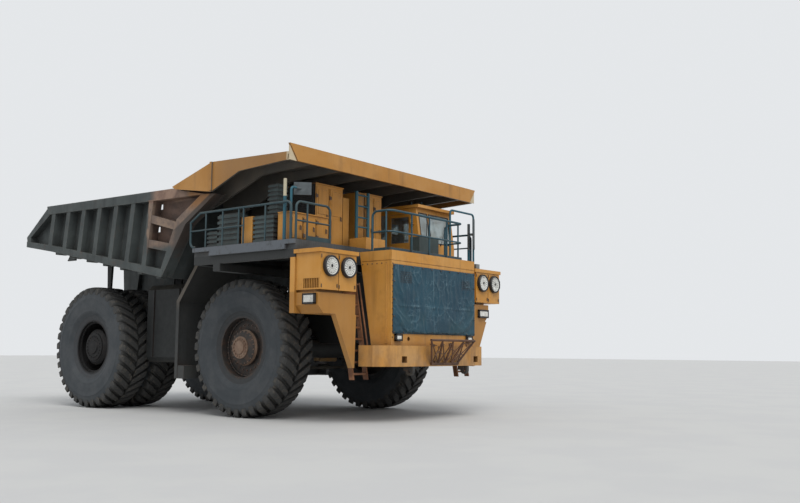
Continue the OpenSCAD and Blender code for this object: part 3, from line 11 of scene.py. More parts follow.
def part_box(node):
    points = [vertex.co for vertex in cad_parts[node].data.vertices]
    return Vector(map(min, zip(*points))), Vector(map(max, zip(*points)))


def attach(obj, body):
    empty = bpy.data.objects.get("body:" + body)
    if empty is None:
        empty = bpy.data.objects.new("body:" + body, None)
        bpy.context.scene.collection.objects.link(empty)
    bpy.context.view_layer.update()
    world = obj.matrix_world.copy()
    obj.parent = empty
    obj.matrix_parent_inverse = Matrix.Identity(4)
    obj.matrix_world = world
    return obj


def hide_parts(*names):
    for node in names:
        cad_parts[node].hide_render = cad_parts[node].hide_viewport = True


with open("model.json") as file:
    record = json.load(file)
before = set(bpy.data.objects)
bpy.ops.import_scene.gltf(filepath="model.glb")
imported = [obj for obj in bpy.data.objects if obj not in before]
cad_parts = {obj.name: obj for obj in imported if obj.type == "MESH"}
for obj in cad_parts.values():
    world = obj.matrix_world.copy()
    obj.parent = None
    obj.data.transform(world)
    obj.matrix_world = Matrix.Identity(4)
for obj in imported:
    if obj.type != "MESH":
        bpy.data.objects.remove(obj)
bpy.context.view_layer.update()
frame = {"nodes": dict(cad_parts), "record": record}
nodes = frame["nodes"]

# Main sizes, as in the part's source (metres)
FRONT_Y, REAR_Y, HUB_Z = -2.04, 3.26, 1.52
TYRE_W, BEAD_R = 0.86, 0.76
FRONT_X, REAR_X, DUAL = 2.16, 1.935, 0.495
HOOD_Y = -5.51
# Gap that added pieces keep from the face they sit on
GAP = 0.0005

# Camera, from the calibration against the photograph
CAM_AT = Vector((-15.785, -16.947, 1.473))
CAM_AZ, CAM_EL, CAM_ROLL = (math.radians(a) for a in (-51.779, -6.361, 0.383))
CAM_LENS, CAM_FILM = 40.07, 36.0


def add_camera():
    """The photograph's camera."""
    flat = math.cos(CAM_EL)
    back = Vector((math.sin(CAM_AZ) * flat, -math.cos(CAM_AZ) * flat, math.sin(CAM_EL)))
    forward = -back
    right = forward.cross(Vector((0, 0, 1))).normalized()
    up = right.cross(forward)
    c, s = math.cos(CAM_ROLL), math.sin(CAM_ROLL)
    x_axis, y_axis = c * right + s * up, c * up - s * right
    data = bpy.data.cameras.new("camera")
    data.sensor_width = CAM_FILM
    data.lens = CAM_LENS
    data.clip_end = 500.0
    cam = linked(bpy.data.objects.new("camera", data))
    m = Matrix((x_axis, y_axis, back)).transposed().to_4x4()
    m.translation = CAM_AT
    cam.matrix_world = m
    bpy.context.scene.camera = cam


def srgb(r, g, b):
    """Linear colour of an sRGB colour given in 0-255."""
    def lin(v):
        v /= 255
        return v / 12.92 if v <= 0.04045 else ((v + 0.055) / 1.055) ** 2.4
    return (lin(r), lin(g), lin(b), 1.0)


def linked(obj):
    """Puts a new object into the scene."""
    bpy.context.scene.collection.objects.link(obj)
    return obj


class Mat:
    """A node material, built from small steps that return sockets."""

    def __init__(self, name, rough=0.6, metal=0.0):
        self.mat = bpy.data.materials.new(name)
        self.mat.use_nodes = True
        self.tree = self.mat.node_tree
        self.shader = next(n for n in self.tree.nodes if n.type == "BSDF_PRINCIPLED")
        self.set("Roughness", rough)
        self.set("Metallic", metal)
        self.coord = self.node("ShaderNodeTexCoord")
        self.geo = self.node("ShaderNodeNewGeometry")

    def put(self, socket, value):
        if isinstance(value, bpy.types.NodeSocket):
            self.tree.links.new(value, socket)
        else:
            socket.default_value = value

    def node(self, kind, values=(), **props):
        n = self.tree.nodes.new(kind)
        for k, v in props.items():
            setattr(n, k, v)
        for k, v in dict(values).items():
            self.put(n.inputs[k], v)
        return n

    def place(self, stretch=(1, 1, 1), shift=(0, 0, 0)):
        values = {"Vector": self.coord.outputs["Object"], "Scale": stretch, "Location": shift}
        return self.node("ShaderNodeMapping", values).outputs[0]

    def noise(self, scale, detail=4.0, rough=0.55, stretch=(1, 1, 1), shift=(0, 0, 0)):
        values = {"Vector": self.place(stretch, shift), "Scale": scale, "Detail": detail,
                  "Roughness": rough}
        return self.node("ShaderNodeTexNoise", values).outputs[0]

    def blots(self, low, high, *noise, **more):
        """Patches: 0 where the noise is below low, 1 where it is above high."""
        return self.step(self.noise(*noise, **more), low, high)

    def threads(self, scale):
        """Fine waves along x and along z, as of warp and weft."""
        return [self.node("ShaderNodeTexWave", {"Vector": self.place(), "Scale": scale},
                          bands_direction=way).outputs["Fac"] for way in "XZ"]

    def math(self, op, a, b=0.0, clamp=False):
        n = self.node("ShaderNodeMath", operation=op, use_clamp=clamp)
        self.put(n.inputs[0], a)
        self.put(n.inputs[1], b)
        return n.outputs[0]

    def mul(self, *values):
        return functools.reduce(functools.partial(self.math, "MULTIPLY"), values)

    def add(self, a, b, clamp=False):
        return self.math("ADD", a, b, clamp)

    def sub(self, a, b, clamp=False):
        return self.math("SUBTRACT", a, b, clamp)

    def most(self, *values):
        return functools.reduce(functools.partial(self.math, "MAXIMUM"), values)

    def step(self, value, low, high, out_low=0.0, out_high=1.0):
        """Smooth step from one value to another between low and high."""
        n = self.node("ShaderNodeMapRange", interpolation_type="SMOOTHSTEP")
        for i, v in enumerate((value, low, high, out_low, out_high)):
            self.put(n.inputs[i], v)
        return n.outputs[0]

    def mix(self, a, b, fac):
        """Colour between two, each a socket or an sRGB triple."""
        n = self.node("ShaderNodeMix", {0: fac}, data_type="RGBA")
        for i, colour in ((6, a), (7, b)):
            self.put(n.inputs[i], srgb(*colour) if isinstance(colour, tuple) else colour)
        return n.outputs[2]

    def xyz(self, which="Object"):
        return self.node("ShaderNodeSeparateXYZ", {0: self.coord.outputs[which]}).outputs

    def edges(self, radius=0.02):
        """1 on convex and concave edges, 0 on flat faces."""
        bevel = self.node("ShaderNodeBevel", {"Radius": radius}, samples=6)
        both = {0: bevel.outputs[0], 1: self.geo.outputs["Normal"]}
        dot = self.node("ShaderNodeVectorMath", both, operation="DOT_PRODUCT")
        return self.step(dot.outputs["Value"], 0.995, 0.86)

    def corners(self, distance=0.35):
        """1 in corners that light hardly reaches."""
        ao = self.node("ShaderNodeAmbientOcclusion", {"Distance": distance}, samples=6)
        return self.step(ao.outputs["AO"], 0.85, 0.25)

    def bump(self, height, strength=0.3, distance=0.01, under=None):
        values = {"Height": height, "Strength": strength, "Distance": distance}
        n = self.node("ShaderNodeBump", values)
        if under is not None:
            self.put(n.inputs["Normal"], under)
        self.set("Normal", n.outputs[0])
        return n.outputs[0]

    def set(self, socket, value):
        """Gives the shader's socket a value or a link."""
        self.put(self.shader.inputs[socket], value)

    def color(self, value):
        self.set("Base Color", value)

    def lay(self, colour, *masks):
        """Lays a colour over what is there, as far as the masks' product says."""
        under = self.shader.inputs["Base Color"].links[0].from_socket
        self.color(self.mix(under, colour, self.mul(*masks)))
        return self

    def rough(self, value):
        self.set("Roughness", value)

    def uneven(self, amount, base, *noise, **more):
        """Roughness that varies by an amount from a base."""
        self.rough(self.add(self.mul(self.noise(*noise, **more), amount), base, clamp=True))


DUST = (150, 138, 120)
RUST = (104, 62, 38)
# Rust-brown painted shade, for corners that light hardly reaches
RUSTY_SHADE = (64, 42, 32)
YELLOW = dict(base=(198, 137, 50), faded=(208, 152, 76), streak=(118, 80, 42))
TEAL = dict(base=(24, 86, 104), faded=(44, 100, 114), streak=(34, 58, 66), low_dirt=0.0)


def painted(name, base, faded, streak, rough=0.45, chips=0.5, dust=0.35, low_dirt=2.2):
    """Weathered paint: faded, streaked, chipped on edges, dusty on top, dirty near the ground."""
    m = Mat(name)
    m.color(m.mix(base, faded, m.blots(0.35, 0.7, 0.9, 5, 0.6)))
    m.lay(streak, m.blots(0.5, 0.78, 5, 4, 0.6, (1, 1, 0.09)), 0.42)
    m.lay(streak, m.blots(0.52, 0.75, 2.7, 6, 0.7, shift=(3, 1, 7)), 0.28)
    if low_dirt:
        m.lay(DUST, m.step(m.xyz()[2], low_dirt, 0.6), m.blots(0.25, 0.6, 3.1, 5), 0.45)
    up = m.step(m.xyz("Normal")[2], 0.35, 0.95)
    m.lay(DUST, up, m.blots(0.3, 0.62, 2.2, 6, 0.65), dust)
    # Painted shade: rust-tinted dark in corners that light hardly reaches
    m.lay(RUSTY_SHADE, m.corners(), 0.55)
    edge = m.mul(m.edges(0.018), m.blots(0.42, 0.6, 7, 5, 0.7))
    spots = m.blots(0.72, 0.78, 16, 3, 0.6, shift=(5, 5, 1))
    chip = m.mul(m.most(edge, m.mul(spots, 0.6)), chips)
    m.lay(RUST, chip)
    dull = m.add(m.mul(m.noise(8, 4), 0.3), rough - 0.12)
    m.rough(m.add(dull, m.mul(chip, 0.25), clamp=True))
    under = m.bump(m.noise(1.6, 2), 0.15, 0.06)
    m.bump(m.sub(m.noise(60, 3), m.mul(chip, 0.8)), 0.12, 0.004, under)
    return m


def bare_steel(name, base, other, rust=0.4):
    """Bare or rusty steel with mottled rust and scale."""
    m = Mat(name, metal=0.2)
    m.color(m.mix(base, other, m.blots(0.35, 0.68, 2.4, 6, 0.65)))
    m.lay(RUST, m.blots(0.48, 0.64, 6.5, 6, 0.7, shift=(9, 2, 4)), rust)
    # Painted shade in the corners, tinted rust brown
    m.lay(RUSTY_SHADE, m.corners(0.2), 0.5)
    m.lay(DUST, m.step(m.xyz("Normal")[2], 0.4, 0.95), m.noise(4, 4), 0.6)
    m.uneven(0.35, 0.45, 9, 4)
    m.bump(m.noise(38, 5, 0.7), 0.25, 0.004)
    return m


def canopy_paint():
    """Yellow outside, dark as painted shade under the sheet, cream on the lip's folded corners."""
    # Painted shade: darker than the other yellow paint, as the canopy catches more light
    m = painted("canopy_yellow", (180, 124, 47), (190, 137, 68), (112, 76, 40), low_dirt=0.0)
    x, y, z = m.xyz()
    n = m.xyz("Normal")
    wide = m.math("ABSOLUTE", x)
    skirt = m.mul(m.step(wide, 3.284, 3.29), m.step(m.math("ABSOLUTE", n[0]), 0.4, 0.6))
    lip = m.mul(m.step(y, -4.28, -4.3), m.step(n[1], 0.3, -0.3))
    lip_back = m.mul(m.step(y, -4.25, -4.27), m.step(z, 5.45, 5.47))
    open_air = m.most(m.step(n[2], 0.1, 0.3), skirt, lip, lip_back)
    # Painted shade: grey in place of the yellow on faces under the sheet
    under_shade = m.mix((94, 91, 86), (108, 101, 92), m.blots(0.4, 0.7, 1.7, 5))
    m.lay(under_shade, m.sub(1.0, open_air, clamp=True))
    # Painted shade on the side skirt, deeper towards the front
    m.lay((124, 92, 58), skirt, m.step(y, -1.6, -2.6, 0.12, 0.6))
    slant = m.sub(wide, m.mul(m.sub(z, 5.285), 0.69))
    corner = m.mul(m.step(slant, 3.14, 3.15), m.step(y, -4.2, -4.25), m.step(n[2], 0.6, 0.3))
    return m.lay(m.mix((206, 190, 160), (176, 158, 130), m.blots(0.4, 0.7, 4, 4)), corner)


def bed_paint():
    """Worn dark grey plate, with rusty brown plate towards the front and pale scrapes."""
    m = Mat("bed_steel")
    x, y, z = m.xyz()
    wide = m.math("ABSOLUTE", x)
    m.color(m.mix((60, 66, 66), (76, 82, 81), m.blots(0.35, 0.7, 1.3, 6, 0.65)))
    m.lay((38, 41, 41), m.blots(0.48, 0.75, 4.5, 5, 0.65, (1, 1, 0.12)), 0.7)
    # Outside of the side walls, in front of the first rib
    front = m.step(m.add(y, m.mul(m.noise(2.5, 5), 0.25)), 0.68, 0.6)
    high = m.step(m.add(z, m.mul(m.noise(3.1, 4), 0.3)), 3.85, 4.15)
    outer = m.step(wide, 2.9, 2.95)
    rear_rail = m.mul(m.step(z, 4.92, 4.96), m.step(y, 0.05, 0.35))
    zone = m.mul(front, high, m.sub(outer, rear_rail, clamp=True))
    m.lay(m.mix((112, 86, 72), (84, 64, 54), m.blots(0.4, 0.65, 5, 6, 0.7, (1, 0.5, 1))), zone, 0.9)
    # Bars, flange and rail that stand proud of the wall
    bars = m.mix((144, 122, 104), (112, 96, 86), m.blots(0.38, 0.62, 3.4, 6, 0.7, shift=(1, 2, 9)))
    near = m.mul(m.step(z, 4.5, 4.75), m.step(y, -0.8, -1.1))
    bars = m.mix(bars, (164, 112, 56), m.mul(near, 0.8))
    pink = m.mix((150, 122, 104), (122, 96, 82), m.blots(0.4, 0.65, 2.9, 5, 0.7))
    rim = m.mul(m.step(z, 4.84, 4.9), m.step(y, -0.95, -0.75))
    proud = m.mul(zone, m.step(wide, 3.1, 3.13), m.step(y, 0.62, 0.56))
    m.lay(m.mix(bars, pink, rim), proud, 0.92)
    m.lay(pink, rim, outer, m.step(y, 0.5, 0.1))
    # Darker front edge: how far a point lies behind the line of the gusset
    behind = m.add(m.mul(m.add(y, 0.87), 0.5), m.mul(m.sub(z, 4.28), 0.867))
    m.lay((62, 57, 54), m.step(behind, 0.13, 0.09), outer, m.step(y, -0.3, -0.6), 0.85)
    m.lay((90, 62, 48), m.blots(0.56, 0.72, 3.6, 7, 0.75, shift=(2, 8, 3)), 0.4)
    m.lay((116, 112, 104), m.edges(0.02), m.blots(0.3, 0.6, 6, 5, 0.7), 0.55)
    # Painted shade in corners that light hardly reaches
    m.lay((34, 31, 29), m.corners(0.4), 0.5)
    m.uneven(0.3, 0.5, 7, 4)
    under = m.bump(m.noise(1.1, 3), 0.3, 0.1)
    m.bump(m.noise(30, 5, 0.7), 0.2, 0.004, under)
    return m


# Turn of the chequer plate's bars, an eighth of a circle
PLATE_TURN = 0.785


def deck_plate():
    """Chequer plate: short raised bars laid crosswise, worn and muddy."""
    m = Mat("deck_plate", rough=0.6, metal=0.1)
    m.color(m.mix((76, 80, 82), (60, 62, 62), m.blots(0.4, 0.65, 2.2, 6, 0.6)))
    m.lay((92, 86, 78), m.blots(0.5, 0.7, 3.7, 5), 0.4)
    wide = m.math("ABSOLUTE", m.xyz()[0])
    m.lay((96, 101, 107), m.step(wide, 3.241, 3.243), m.blots(0.3, 0.5, 6, 5, 0.7))
    # Painted shade in the plate's corners
    m.lay(RUSTY_SHADE, m.corners(0.2), 0.4)
    waves = []
    for turn in (PLATE_TURN, -PLATE_TURN):
        at = {"Vector": m.coord.outputs["Object"], "Rotation": (0, 0, turn)}
        turned = m.node("ShaderNodeMapping", at).outputs[0]
        wave = m.node("ShaderNodeTexWave", {"Vector": turned, "Scale": 9.0})
        waves.append(m.step(wave.outputs["Fac"], 0.55, 0.8))
    m.bump(m.mul(*waves), 0.5, 0.006)
    return m


def rubber(name, side, tread):
    """Rubber: dusty grey walls with fine moulded rings, darker lugs with dried mud."""
    m = Mat(name, rough=0.8)
    m.color(m.mix(side, (80, 82, 84), m.mul(m.blots(0.35, 0.7, 2.2, 6, 0.6), 0.6)))
    lugs = m.node("ShaderNodeAttribute", attribute_name="tread").outputs["Fac"]
    m.lay(m.mix(tread, (92, 86, 77), m.mul(m.blots(0.5, 0.64, 9, 6, 0.7), 0.65)), lugs)
    # Painted shade, near black, in the tyre's hollows
    m.lay((22, 22, 22), m.corners(0.15), 0.7)
    m.uneven(0.2, 0.68, 12, 3)
    m.bump(m.noise(45, 4, 0.7), 0.25, 0.004)
    return m


def rim_metal(name, y, dish, ring, rust_amount):
    """Rim on an axle at y: dark dish, paler flange ring outside it."""
    m = Mat(name, rough=0.7, metal=0.1)
    at = m.xyz()
    dy, dz = m.sub(at[1], y), m.sub(at[2], HUB_Z)
    r = m.math("SQRT", m.add(m.mul(dy, dy), m.mul(dz, dz)))
    outside = m.step(r, 0.64, 0.72)
    m.color(m.mix(dish, ring, outside))
    patch = m.blots(0.46, 0.62, 7.5, 7, 0.75, shift=(4, 4, 4))
    m.lay((104, 74, 56), patch, m.step(outside, 0.0, 1.0, rust_amount, 0.05))
    # Painted shade, near black, in the rim's recesses
    m.lay((20, 20, 20), m.corners(0.25), 0.75)
    m.uneven(0.3, 0.55, 9, 4)
    m.bump(m.noise(34, 5, 0.7), 0.3, 0.004)
    return m


def creases(m, scale, shift, width):
    """1 along irregular thin lines, where sharp folds have rubbed."""
    at = m.place(shift=shift)
    warp = m.node("ShaderNodeTexNoise", {"Vector": at, "Scale": 1.9, "Detail": 2.0})
    bent = m.node("ShaderNodeVectorMath", {0: at, 1: warp.outputs["Color"]}, operation="ADD")
    cells = m.node("ShaderNodeTexVoronoi", {"Vector": bent.outputs[0], "Scale": scale},
                   feature="DISTANCE_TO_EDGE")
    return m.step(cells.outputs["Distance"], width, 0.0)


def window(m, x, z, x0, x1, z0, z1, soft=0.03):
    """1 inside an upright rectangle."""
    return m.mul(m.step(x, x0 - soft, x0 + soft), m.step(x, x1 + soft, x1 - soft),
                 m.step(z, z0 - soft, z0 + soft), m.step(z, z1 + soft, z1 - soft))


# Folds across the tarpaulin, from how it was packed
FOLD_X, FOLD_Z, FOLD_W = -0.1, 2.42, 0.04
# Grilles behind it, as x and z ranges
GRILLES = ((-1.27, -0.86, 2.88, 3.13), (0.98, 1.33, 2.86, 3.07))


def tarp_cloth():
    """Coated woven sheet: teal, pale along creases, with the grilles behind it showing through."""
    m = Mat("tarp_cloth", rough=0.42)
    x, _, z = m.xyz()
    m.color(m.mix((8, 56, 74), (20, 68, 85), m.blots(0.35, 0.7, 1.5, 5)))
    m.lay((18, 64, 70), m.blots(0.5, 0.75, 1.1, 3, shift=(7, 3, 2)), 0.5)
    slats = m.add(m.mul(m.math("SINE", m.mul(z, 150.0)), 0.3), 0.7)
    for at in GRILLES:
        m.lay((8, 24, 33), window(m, x, z, *at), slats, 0.95)
    folds = [m.step(m.math("ABSOLUTE", m.sub(at, middle)), 0.03, 0.0)
             for at, middle in ((x, FOLD_X), (z, FOLD_Z))]
    lines = m.most(creases(m, 1.6, (0, 0, 0), 0.016),
                   m.mul(creases(m, 4.3, (4, 1, 2), 0.05), 0.5), m.mul(m.most(*folds), 0.5))
    m.lay((118, 148, 158), lines, m.blots(0.45, 0.62, 2.6, 4, 0.6, shift=(1, 6, 3)), 0.42)
    bend = m.geo.outputs["Pointiness"]
    # Paler on the folds' crests
    m.lay((112, 140, 150), m.step(bend, 0.505, 0.53), 0.4)
    # Painted shade in the folds' hollows
    m.lay((26, 52, 66), m.step(bend, 0.496, 0.47), 0.5)
    m.lay((74, 88, 92), m.blots(0.52, 0.72, 4.2, 7, 0.75, (1, 1, 0.5)), 0.3)
    m.uneven(0.25, 0.48, 14, 4)
    under = m.bump(m.noise(9, 5, 0.6), 0.35, 0.01)
    m.bump(m.add(*m.threads(90.0)), 0.15, 0.001, under)
    m.set("Coat Weight", 0.06)
    m.set("Coat Roughness", 0.35)
    return m


def glass(name, clear):
    """Cab glass, dusty where it isn't clear."""
    m = Mat(name, rough=0.06)
    m.color(m.mix((206, 218, 220), (182, 188, 184), m.blots(0.4, 0.75, 3, 5)))
    m.rough(m.mul(m.blots(0.45, 0.8, 5, 6, 0.7), 0.22))
    m.set("Transmission Weight", clear)
    m.set("IOR", 1.45)
    return m


def lens(name, bright, dull):
    """Lamp glass over a reflector, a little dusty."""
    m = Mat(name, rough=0.18)
    m.color(m.mix(bright, dull, m.blots(0.4, 0.75, 9, 4)))
    m.uneven(0.2, 0.12, 20, 3)
    m.bump(m.noise(50, 2), 0.04, 0.001)
    m.set("Coat Weight", 0.6)
    return m


def woven(name, base, other):
    """Seat cloth."""
    m = Mat(name, rough=0.9)
    m.color(m.mix(base, other, m.blots(0.35, 0.7, 12, 5)))
    m.bump(m.mul(*m.threads(120.0)), 0.4, 0.002)
    m.set("Sheen Weight", 0.3)
    return m


def polished(name, base):
    """Bright rod with drawn-out wipes of grease."""
    m = Mat(name, rough=0.2, metal=1.0)
    m.color(m.mix(base, (120, 116, 110), m.mul(m.blots(0.5, 0.8, 6, 5), 0.5)))
    m.uneven(0.25, 0.12, 25, 3, stretch=(1, 1, 0.1))
    m.bump(m.noise(80, 2), 0.05, 0.001)
    return m


def plastic(name, base):
    """Dusty dark plastic or rubber."""
    m = Mat(name, rough=0.55)
    m.color(m.mix(base, (74, 72, 70), m.mul(m.blots(0.5, 0.75, 6, 5), 0.4)))
    m.uneven(0.2, 0.45, 18, 3)
    m.bump(m.noise(90, 2), 0.12, 0.001)
    return m


mats = {
    "body_yellow": painted("yellow_paint", **YELLOW),
    "frame_dark": painted("frame_paint", (34, 36, 36), (44, 45, 44), (26, 26, 25), rough=0.65,
                          chips=0.15, dust=0.3, low_dirt=1.4),
    "bed_grey": bed_paint(),
    "deck_grey": deck_plate(),
    "rail_blue": painted("rail_paint", (20, 66, 82), (40, 80, 92), (28, 42, 48), rough=0.5,
                         chips=0.8, low_dirt=0.0),
    "rust_steel": bare_steel("rusty_steel", (104, 72, 52), (72, 52, 42)),
    "core_grey": bare_steel("core_metal", (78, 80, 80), (58, 58, 58), rust=0.15),
    "cover_cloth": tarp_cloth(),
    "lamp_white": lens("lamp_reflector", (112, 112, 108), (84, 82, 80)),
    "cab_glass": glass("door_glass", 0.9),
    "seat_cloth": woven("seat_cloth", (48, 48, 52), (62, 60, 60)),
    "trim_black": plastic("black_trim", (36, 36, 38)),
    "column_grey": painted("column_paint", (56, 70, 71), (72, 86, 86), (40, 46, 46), rough=0.6,
                           chips=0.4, low_dirt=0.0),
    "cylinder_yellow": painted("cylinder_paint", (150, 108, 52), (164, 126, 72), (80, 60, 40)),
    "rod_chrome": polished("rod_steel", (186, 188, 190)),
    "tyre": rubber("tyre_rubber", (57, 62, 66), (60, 60, 59)),
    "rim_rust": rim_metal("rim_rusty", FRONT_Y, (58, 54, 51), (52, 55, 57), 0.4),
    "rim_dark": rim_metal("rim_dark", REAR_Y, (12, 12, 13), (60, 63, 66), 0.05),
}
hub_rust = bare_steel("hub_rust", (146, 122, 104), (112, 90, 74))
bolt_steel = bare_steel("bolt_steel", (104, 92, 84), (78, 68, 62), rust=0.5)
lamp_glass = lens("lamp_glass", (236, 236, 230), (204, 202, 194))


def cabinet_paint():
    """Cabinets: yellow; painted shade as a dark open grille on the tall cabinet's outer side."""
    m = painted("cabinet_yellow", low_dirt=0.0, **YELLOW)
    x, _, z = m.xyz()
    side = m.mul(m.step(m.xyz("Normal")[0], -0.5, -0.8), m.step(x, -1.9, -1.92))
    # Painted shade: the outer side, under the canopy, laid near black
    return m.lay((38, 33, 30), side, m.step(x, -1.96, -1.94), m.step(z, 3.72, 3.74))


def splash_paint():
    """Splash plates: dark and muddy, with a paler flange up the sloping part."""
    m = painted("splash_paint", (58, 60, 60), (66, 66, 64), (44, 43, 41), rough=0.7, chips=0.15,
                dust=0.3, low_dirt=0.0)
    x, _, z = m.xyz()
    edge = m.step(m.math("ABSOLUTE", x), 2.594, 2.598)
    return m.lay((104, 97, 88), edge, m.step(z, 2.3, 2.75), 0.85)


def lamp_box_paint():
    """Lamp boxes: darker below the seam between box and fender."""
    m = painted("lamp_box_yellow", **YELLOW)
    return m.lay((150, 104, 46), m.step(m.xyz()[2], 2.63, 2.6), 0.6)


def bumper_paint():
    """Bumper: stained brown in runs from its top edge."""
    m = painted("bumper_yellow", **YELLOW)
    return m.lay((118, 82, 46), m.blots(0.42, 0.66, 2.4, 6, 0.7, (1, 1, 0.35), (5, 0, 2)), 0.55)


def deck_paint():
    """Deck: chequer plate above; beams with painted shade at the sides, painted light below."""
    m = deck_plate()
    up = m.xyz("Normal")[2]
    # Painted shade on the low band's sides, under the beam
    m.lay((46, 48, 48), m.step(m.xyz()[2], 3.489, 3.487), m.step(up, 0.6, 0.3))
    # Painted light: undersides paler, lifting their shade
    return m.lay((104, 106, 106), m.step(up, -0.4, -0.7), 0.8)


def mirror_paint():
    """Teal tube arms, mirror plates painted grey as a painted reflection."""
    m = painted("mirror_paint", **TEAL)
    x, _, z = m.xyz()
    plates = m.most(window(m, x, z, -3.06, -2.70, 4.60, 4.92, 0.004),
                    window(m, x, z, 2.86, 3.165, 4.05, 4.83, 0.004))
    # Painted reflection: the mirror plates grey with blots
    return m.lay(m.mix((88, 95, 98), (70, 76, 79), m.blots(0.4, 0.7, 5, 5)), plates)


def rack_paint():
    """Teal rack and marker pole, the pole's top cream."""
    m = painted("rack_paint", **TEAL)
    x, _, z = m.xyz()
    return m.lay((196, 186, 160), m.step(x, -2.9, -3.0), m.step(z, 4.58, 4.6))


# Materials of single nodes; the others follow their slots
own = {
    "bed_canopy": canopy_paint(), "cabinets": cabinet_paint(), "mudguards": splash_paint(),
    "lamp_boxes": lamp_box_paint(), "bumper": bumper_paint(), "deck": deck_paint(),
    "mirrors": mirror_paint(),
    "rails_right": painted("rail_worn_paint", (38, 64, 71), (58, 78, 83), (34, 42, 45),
                           rough=0.55, chips=0.9, low_dirt=0.0),
    "cab_glass": glass("screen_glass", 0.6),
    # Painted shade: darker than the frame paint, as the side light falls full on the tanks
    "side_tanks": painted("tank_paint", (24, 27, 27), (33, 36, 36), (18, 19, 19), rough=0.6,
                          chips=0.12, dust=0.25, low_dirt=1.3),
    "rack": rack_paint(),
    # Painted light: paler than the rusty steel, as the ladder gets little light between the boxes
    "ladders": bare_steel("ladder_steel", (142, 98, 66), (96, 64, 44), rust=0.5),
}
slots = {s["node"]: s["material_slot"] for s in frame["record"]["subparts"]}
for name, obj in nodes.items():
    obj.data.materials.clear()
    obj.data.materials.append((own.get(name) or mats[slots[name]]).mat)


def piece(name, verts, faces, slot, mat=None, body="chassis", smooth=False):
    """A new mesh object that rides on a body, in its slot's material if no other is given."""
    me = bpy.data.meshes.new(name)
    me.from_pydata([tuple(v) for v in verts], [], faces)
    me.validate()
    me.materials.append((mat or mats[slot]).mat)
    for p in me.polygons:
        p.use_smooth = smooth
    o = linked(bpy.data.objects.new(name, me))
    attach(o, body)
    return o


def circle(count, turn=0.0):
    """Cosine and sine at equal steps round a circle."""
    angles = [turn + 2 * math.pi * i / count for i in range(count)]
    return [(math.cos(a), math.sin(a)) for a in angles]


def directions(axis):
    """An axis with two directions square to it, all of length 1."""
    axis = Vector(axis).normalized()
    side = axis.orthogonal().normalized()
    return axis, side, axis.cross(side)


def grid_faces(rows, cols, close_rows=False, close_cols=False):
    """Quads between neighbours in a grid of points, which may close on itself either way."""
    faces = []
    for i in range(rows if close_rows else rows - 1):
        this, after = i * cols, (i + 1) % rows * cols
        for k in range(cols if close_cols else cols - 1):
            k2 = (k + 1) % cols
            faces.append((this + k, this + k2, after + k2, after + k))
    return faces


def caps(rows, cols):
    """Faces that close both ends of a tube of points."""
    return [tuple(reversed(range(cols))), tuple(range((rows - 1) * cols, rows * cols))]


def taken(bm):
    """Points and faces of a bmesh, which is freed."""
    bm.verts.index_update()
    points = [tuple(v.co) for v in bm.verts]
    faces = [[v.index for v in f.verts] for f in bm.faces]
    bm.free()
    return points, faces


class Shape:
    """Gathers vertices and faces of several simple forms for one piece."""

    def __init__(self):
        self.v, self.f = [], []

    def add(self, verts, faces):
        k = len(self.v)
        self.v += [Vector(p) for p in verts]
        self.f += [tuple(i + k for i in f) for f in faces]

    def prism(self, at, axis, r, h, sides=6, top=None):
        """Prism with its foot at a point, pointing along axis; top is its far end's radius."""
        axis, side, other = directions(axis)
        at = Vector(at)
        vs = [foot + side * (wide * c) + other * (wide * s)
              for foot, wide in ((at, r), (at + axis * h, r if top is None else top))
              for c, s in circle(sides)]
        self.add(vs, grid_faces(2, sides, close_cols=True) + caps(2, sides))

    def bolt(self, at, axis, r):
        """Washer with a six-sided head."""
        axis = Vector(axis).normalized()
        self.prism(at, axis, 1.45 * r, 0.3 * r, 16)
        self.prism(Vector(at) + axis * (0.3 * r), axis, r, 0.85 * r, 6, 0.9 * r)

    def bolts(self, x, y, out, spread, count, r, turn=0.0):
        """Bolts in a circle round an axle, pointing outwards."""
        for c, s in circle(count, turn):
            self.bolt((x, y + spread * c, HUB_Z + spread * s), out, r)

    def box(self, lo, hi, inset):
        """Box with a chamfer of width inset on all its edges."""
        lo, hi = Vector(lo), Vector(hi)
        bm = bmesh.new()
        bmesh.ops.create_cube(bm, size=1.0)
        for v in bm.verts:
            v.co = (lo + hi) / 2 + v.co * (hi - lo)
        bmesh.ops.bevel(bm, geom=bm.edges, offset=inset, segments=1, affect="EDGES")
        self.add(*taken(bm))

    def revolve(self, at, axis, profile, sides=64):
        """Ring of a closed profile given as (distance along axis, radius)."""
        axis, side, other = directions(axis)
        at = Vector(at)
        vs = [at + axis * a + (side * c + other * s) * r
              for c, s in circle(sides) for a, r in profile]
        self.add(vs, grid_faces(sides, len(profile), True, True))

    def tube(self, pts, r, sides=10):
        """Round bar through points, with flat ends."""
        pts = [Vector(p) for p in pts]
        vs = []
        side = None
        for i, p in enumerate(pts):
            d = (pts[min(i + 1, len(pts) - 1)] - pts[max(i - 1, 0)]).normalized()
            side = (d.orthogonal() if side is None else side - d * side.dot(d)).normalized()
            other = d.cross(side)
            vs += [p + (side * c + other * s) * r for c, s in circle(sides)]
        self.add(vs, grid_faces(len(pts), sides, close_cols=True) + caps(len(pts), sides))

    def make(self, name, slot, mat=None, body="chassis", sharp=0):
        """The piece, flat or else smooth between edges that are sharp above an angle."""
        o = piece(name, self.v, self.f, slot, mat, body, sharp > 0)
        bm = bmesh.new()
        bm.from_mesh(o.data)
        bmesh.ops.recalc_face_normals(bm, faces=bm.faces)
        bm.normal_update()
        for e in bm.edges:
            if sharp and len(e.link_faces) == 2:
                e.smooth = e.calc_face_angle(0.0) < math.radians(sharp)
        bm.to_mesh(o.data)
        bm.free()
        return o


# Angle in degrees from which edges of turned parts stay sharp
SHARP = 35
# Radius at which a turned part's profile closes round its axis
CORE = 0.0005

# Tyre: steps round the carcass, lugs on each shoulder, radius from which it counts as tread
TYRE_SIDES, LUGS, TREAD_R = 112, 36, 1.33


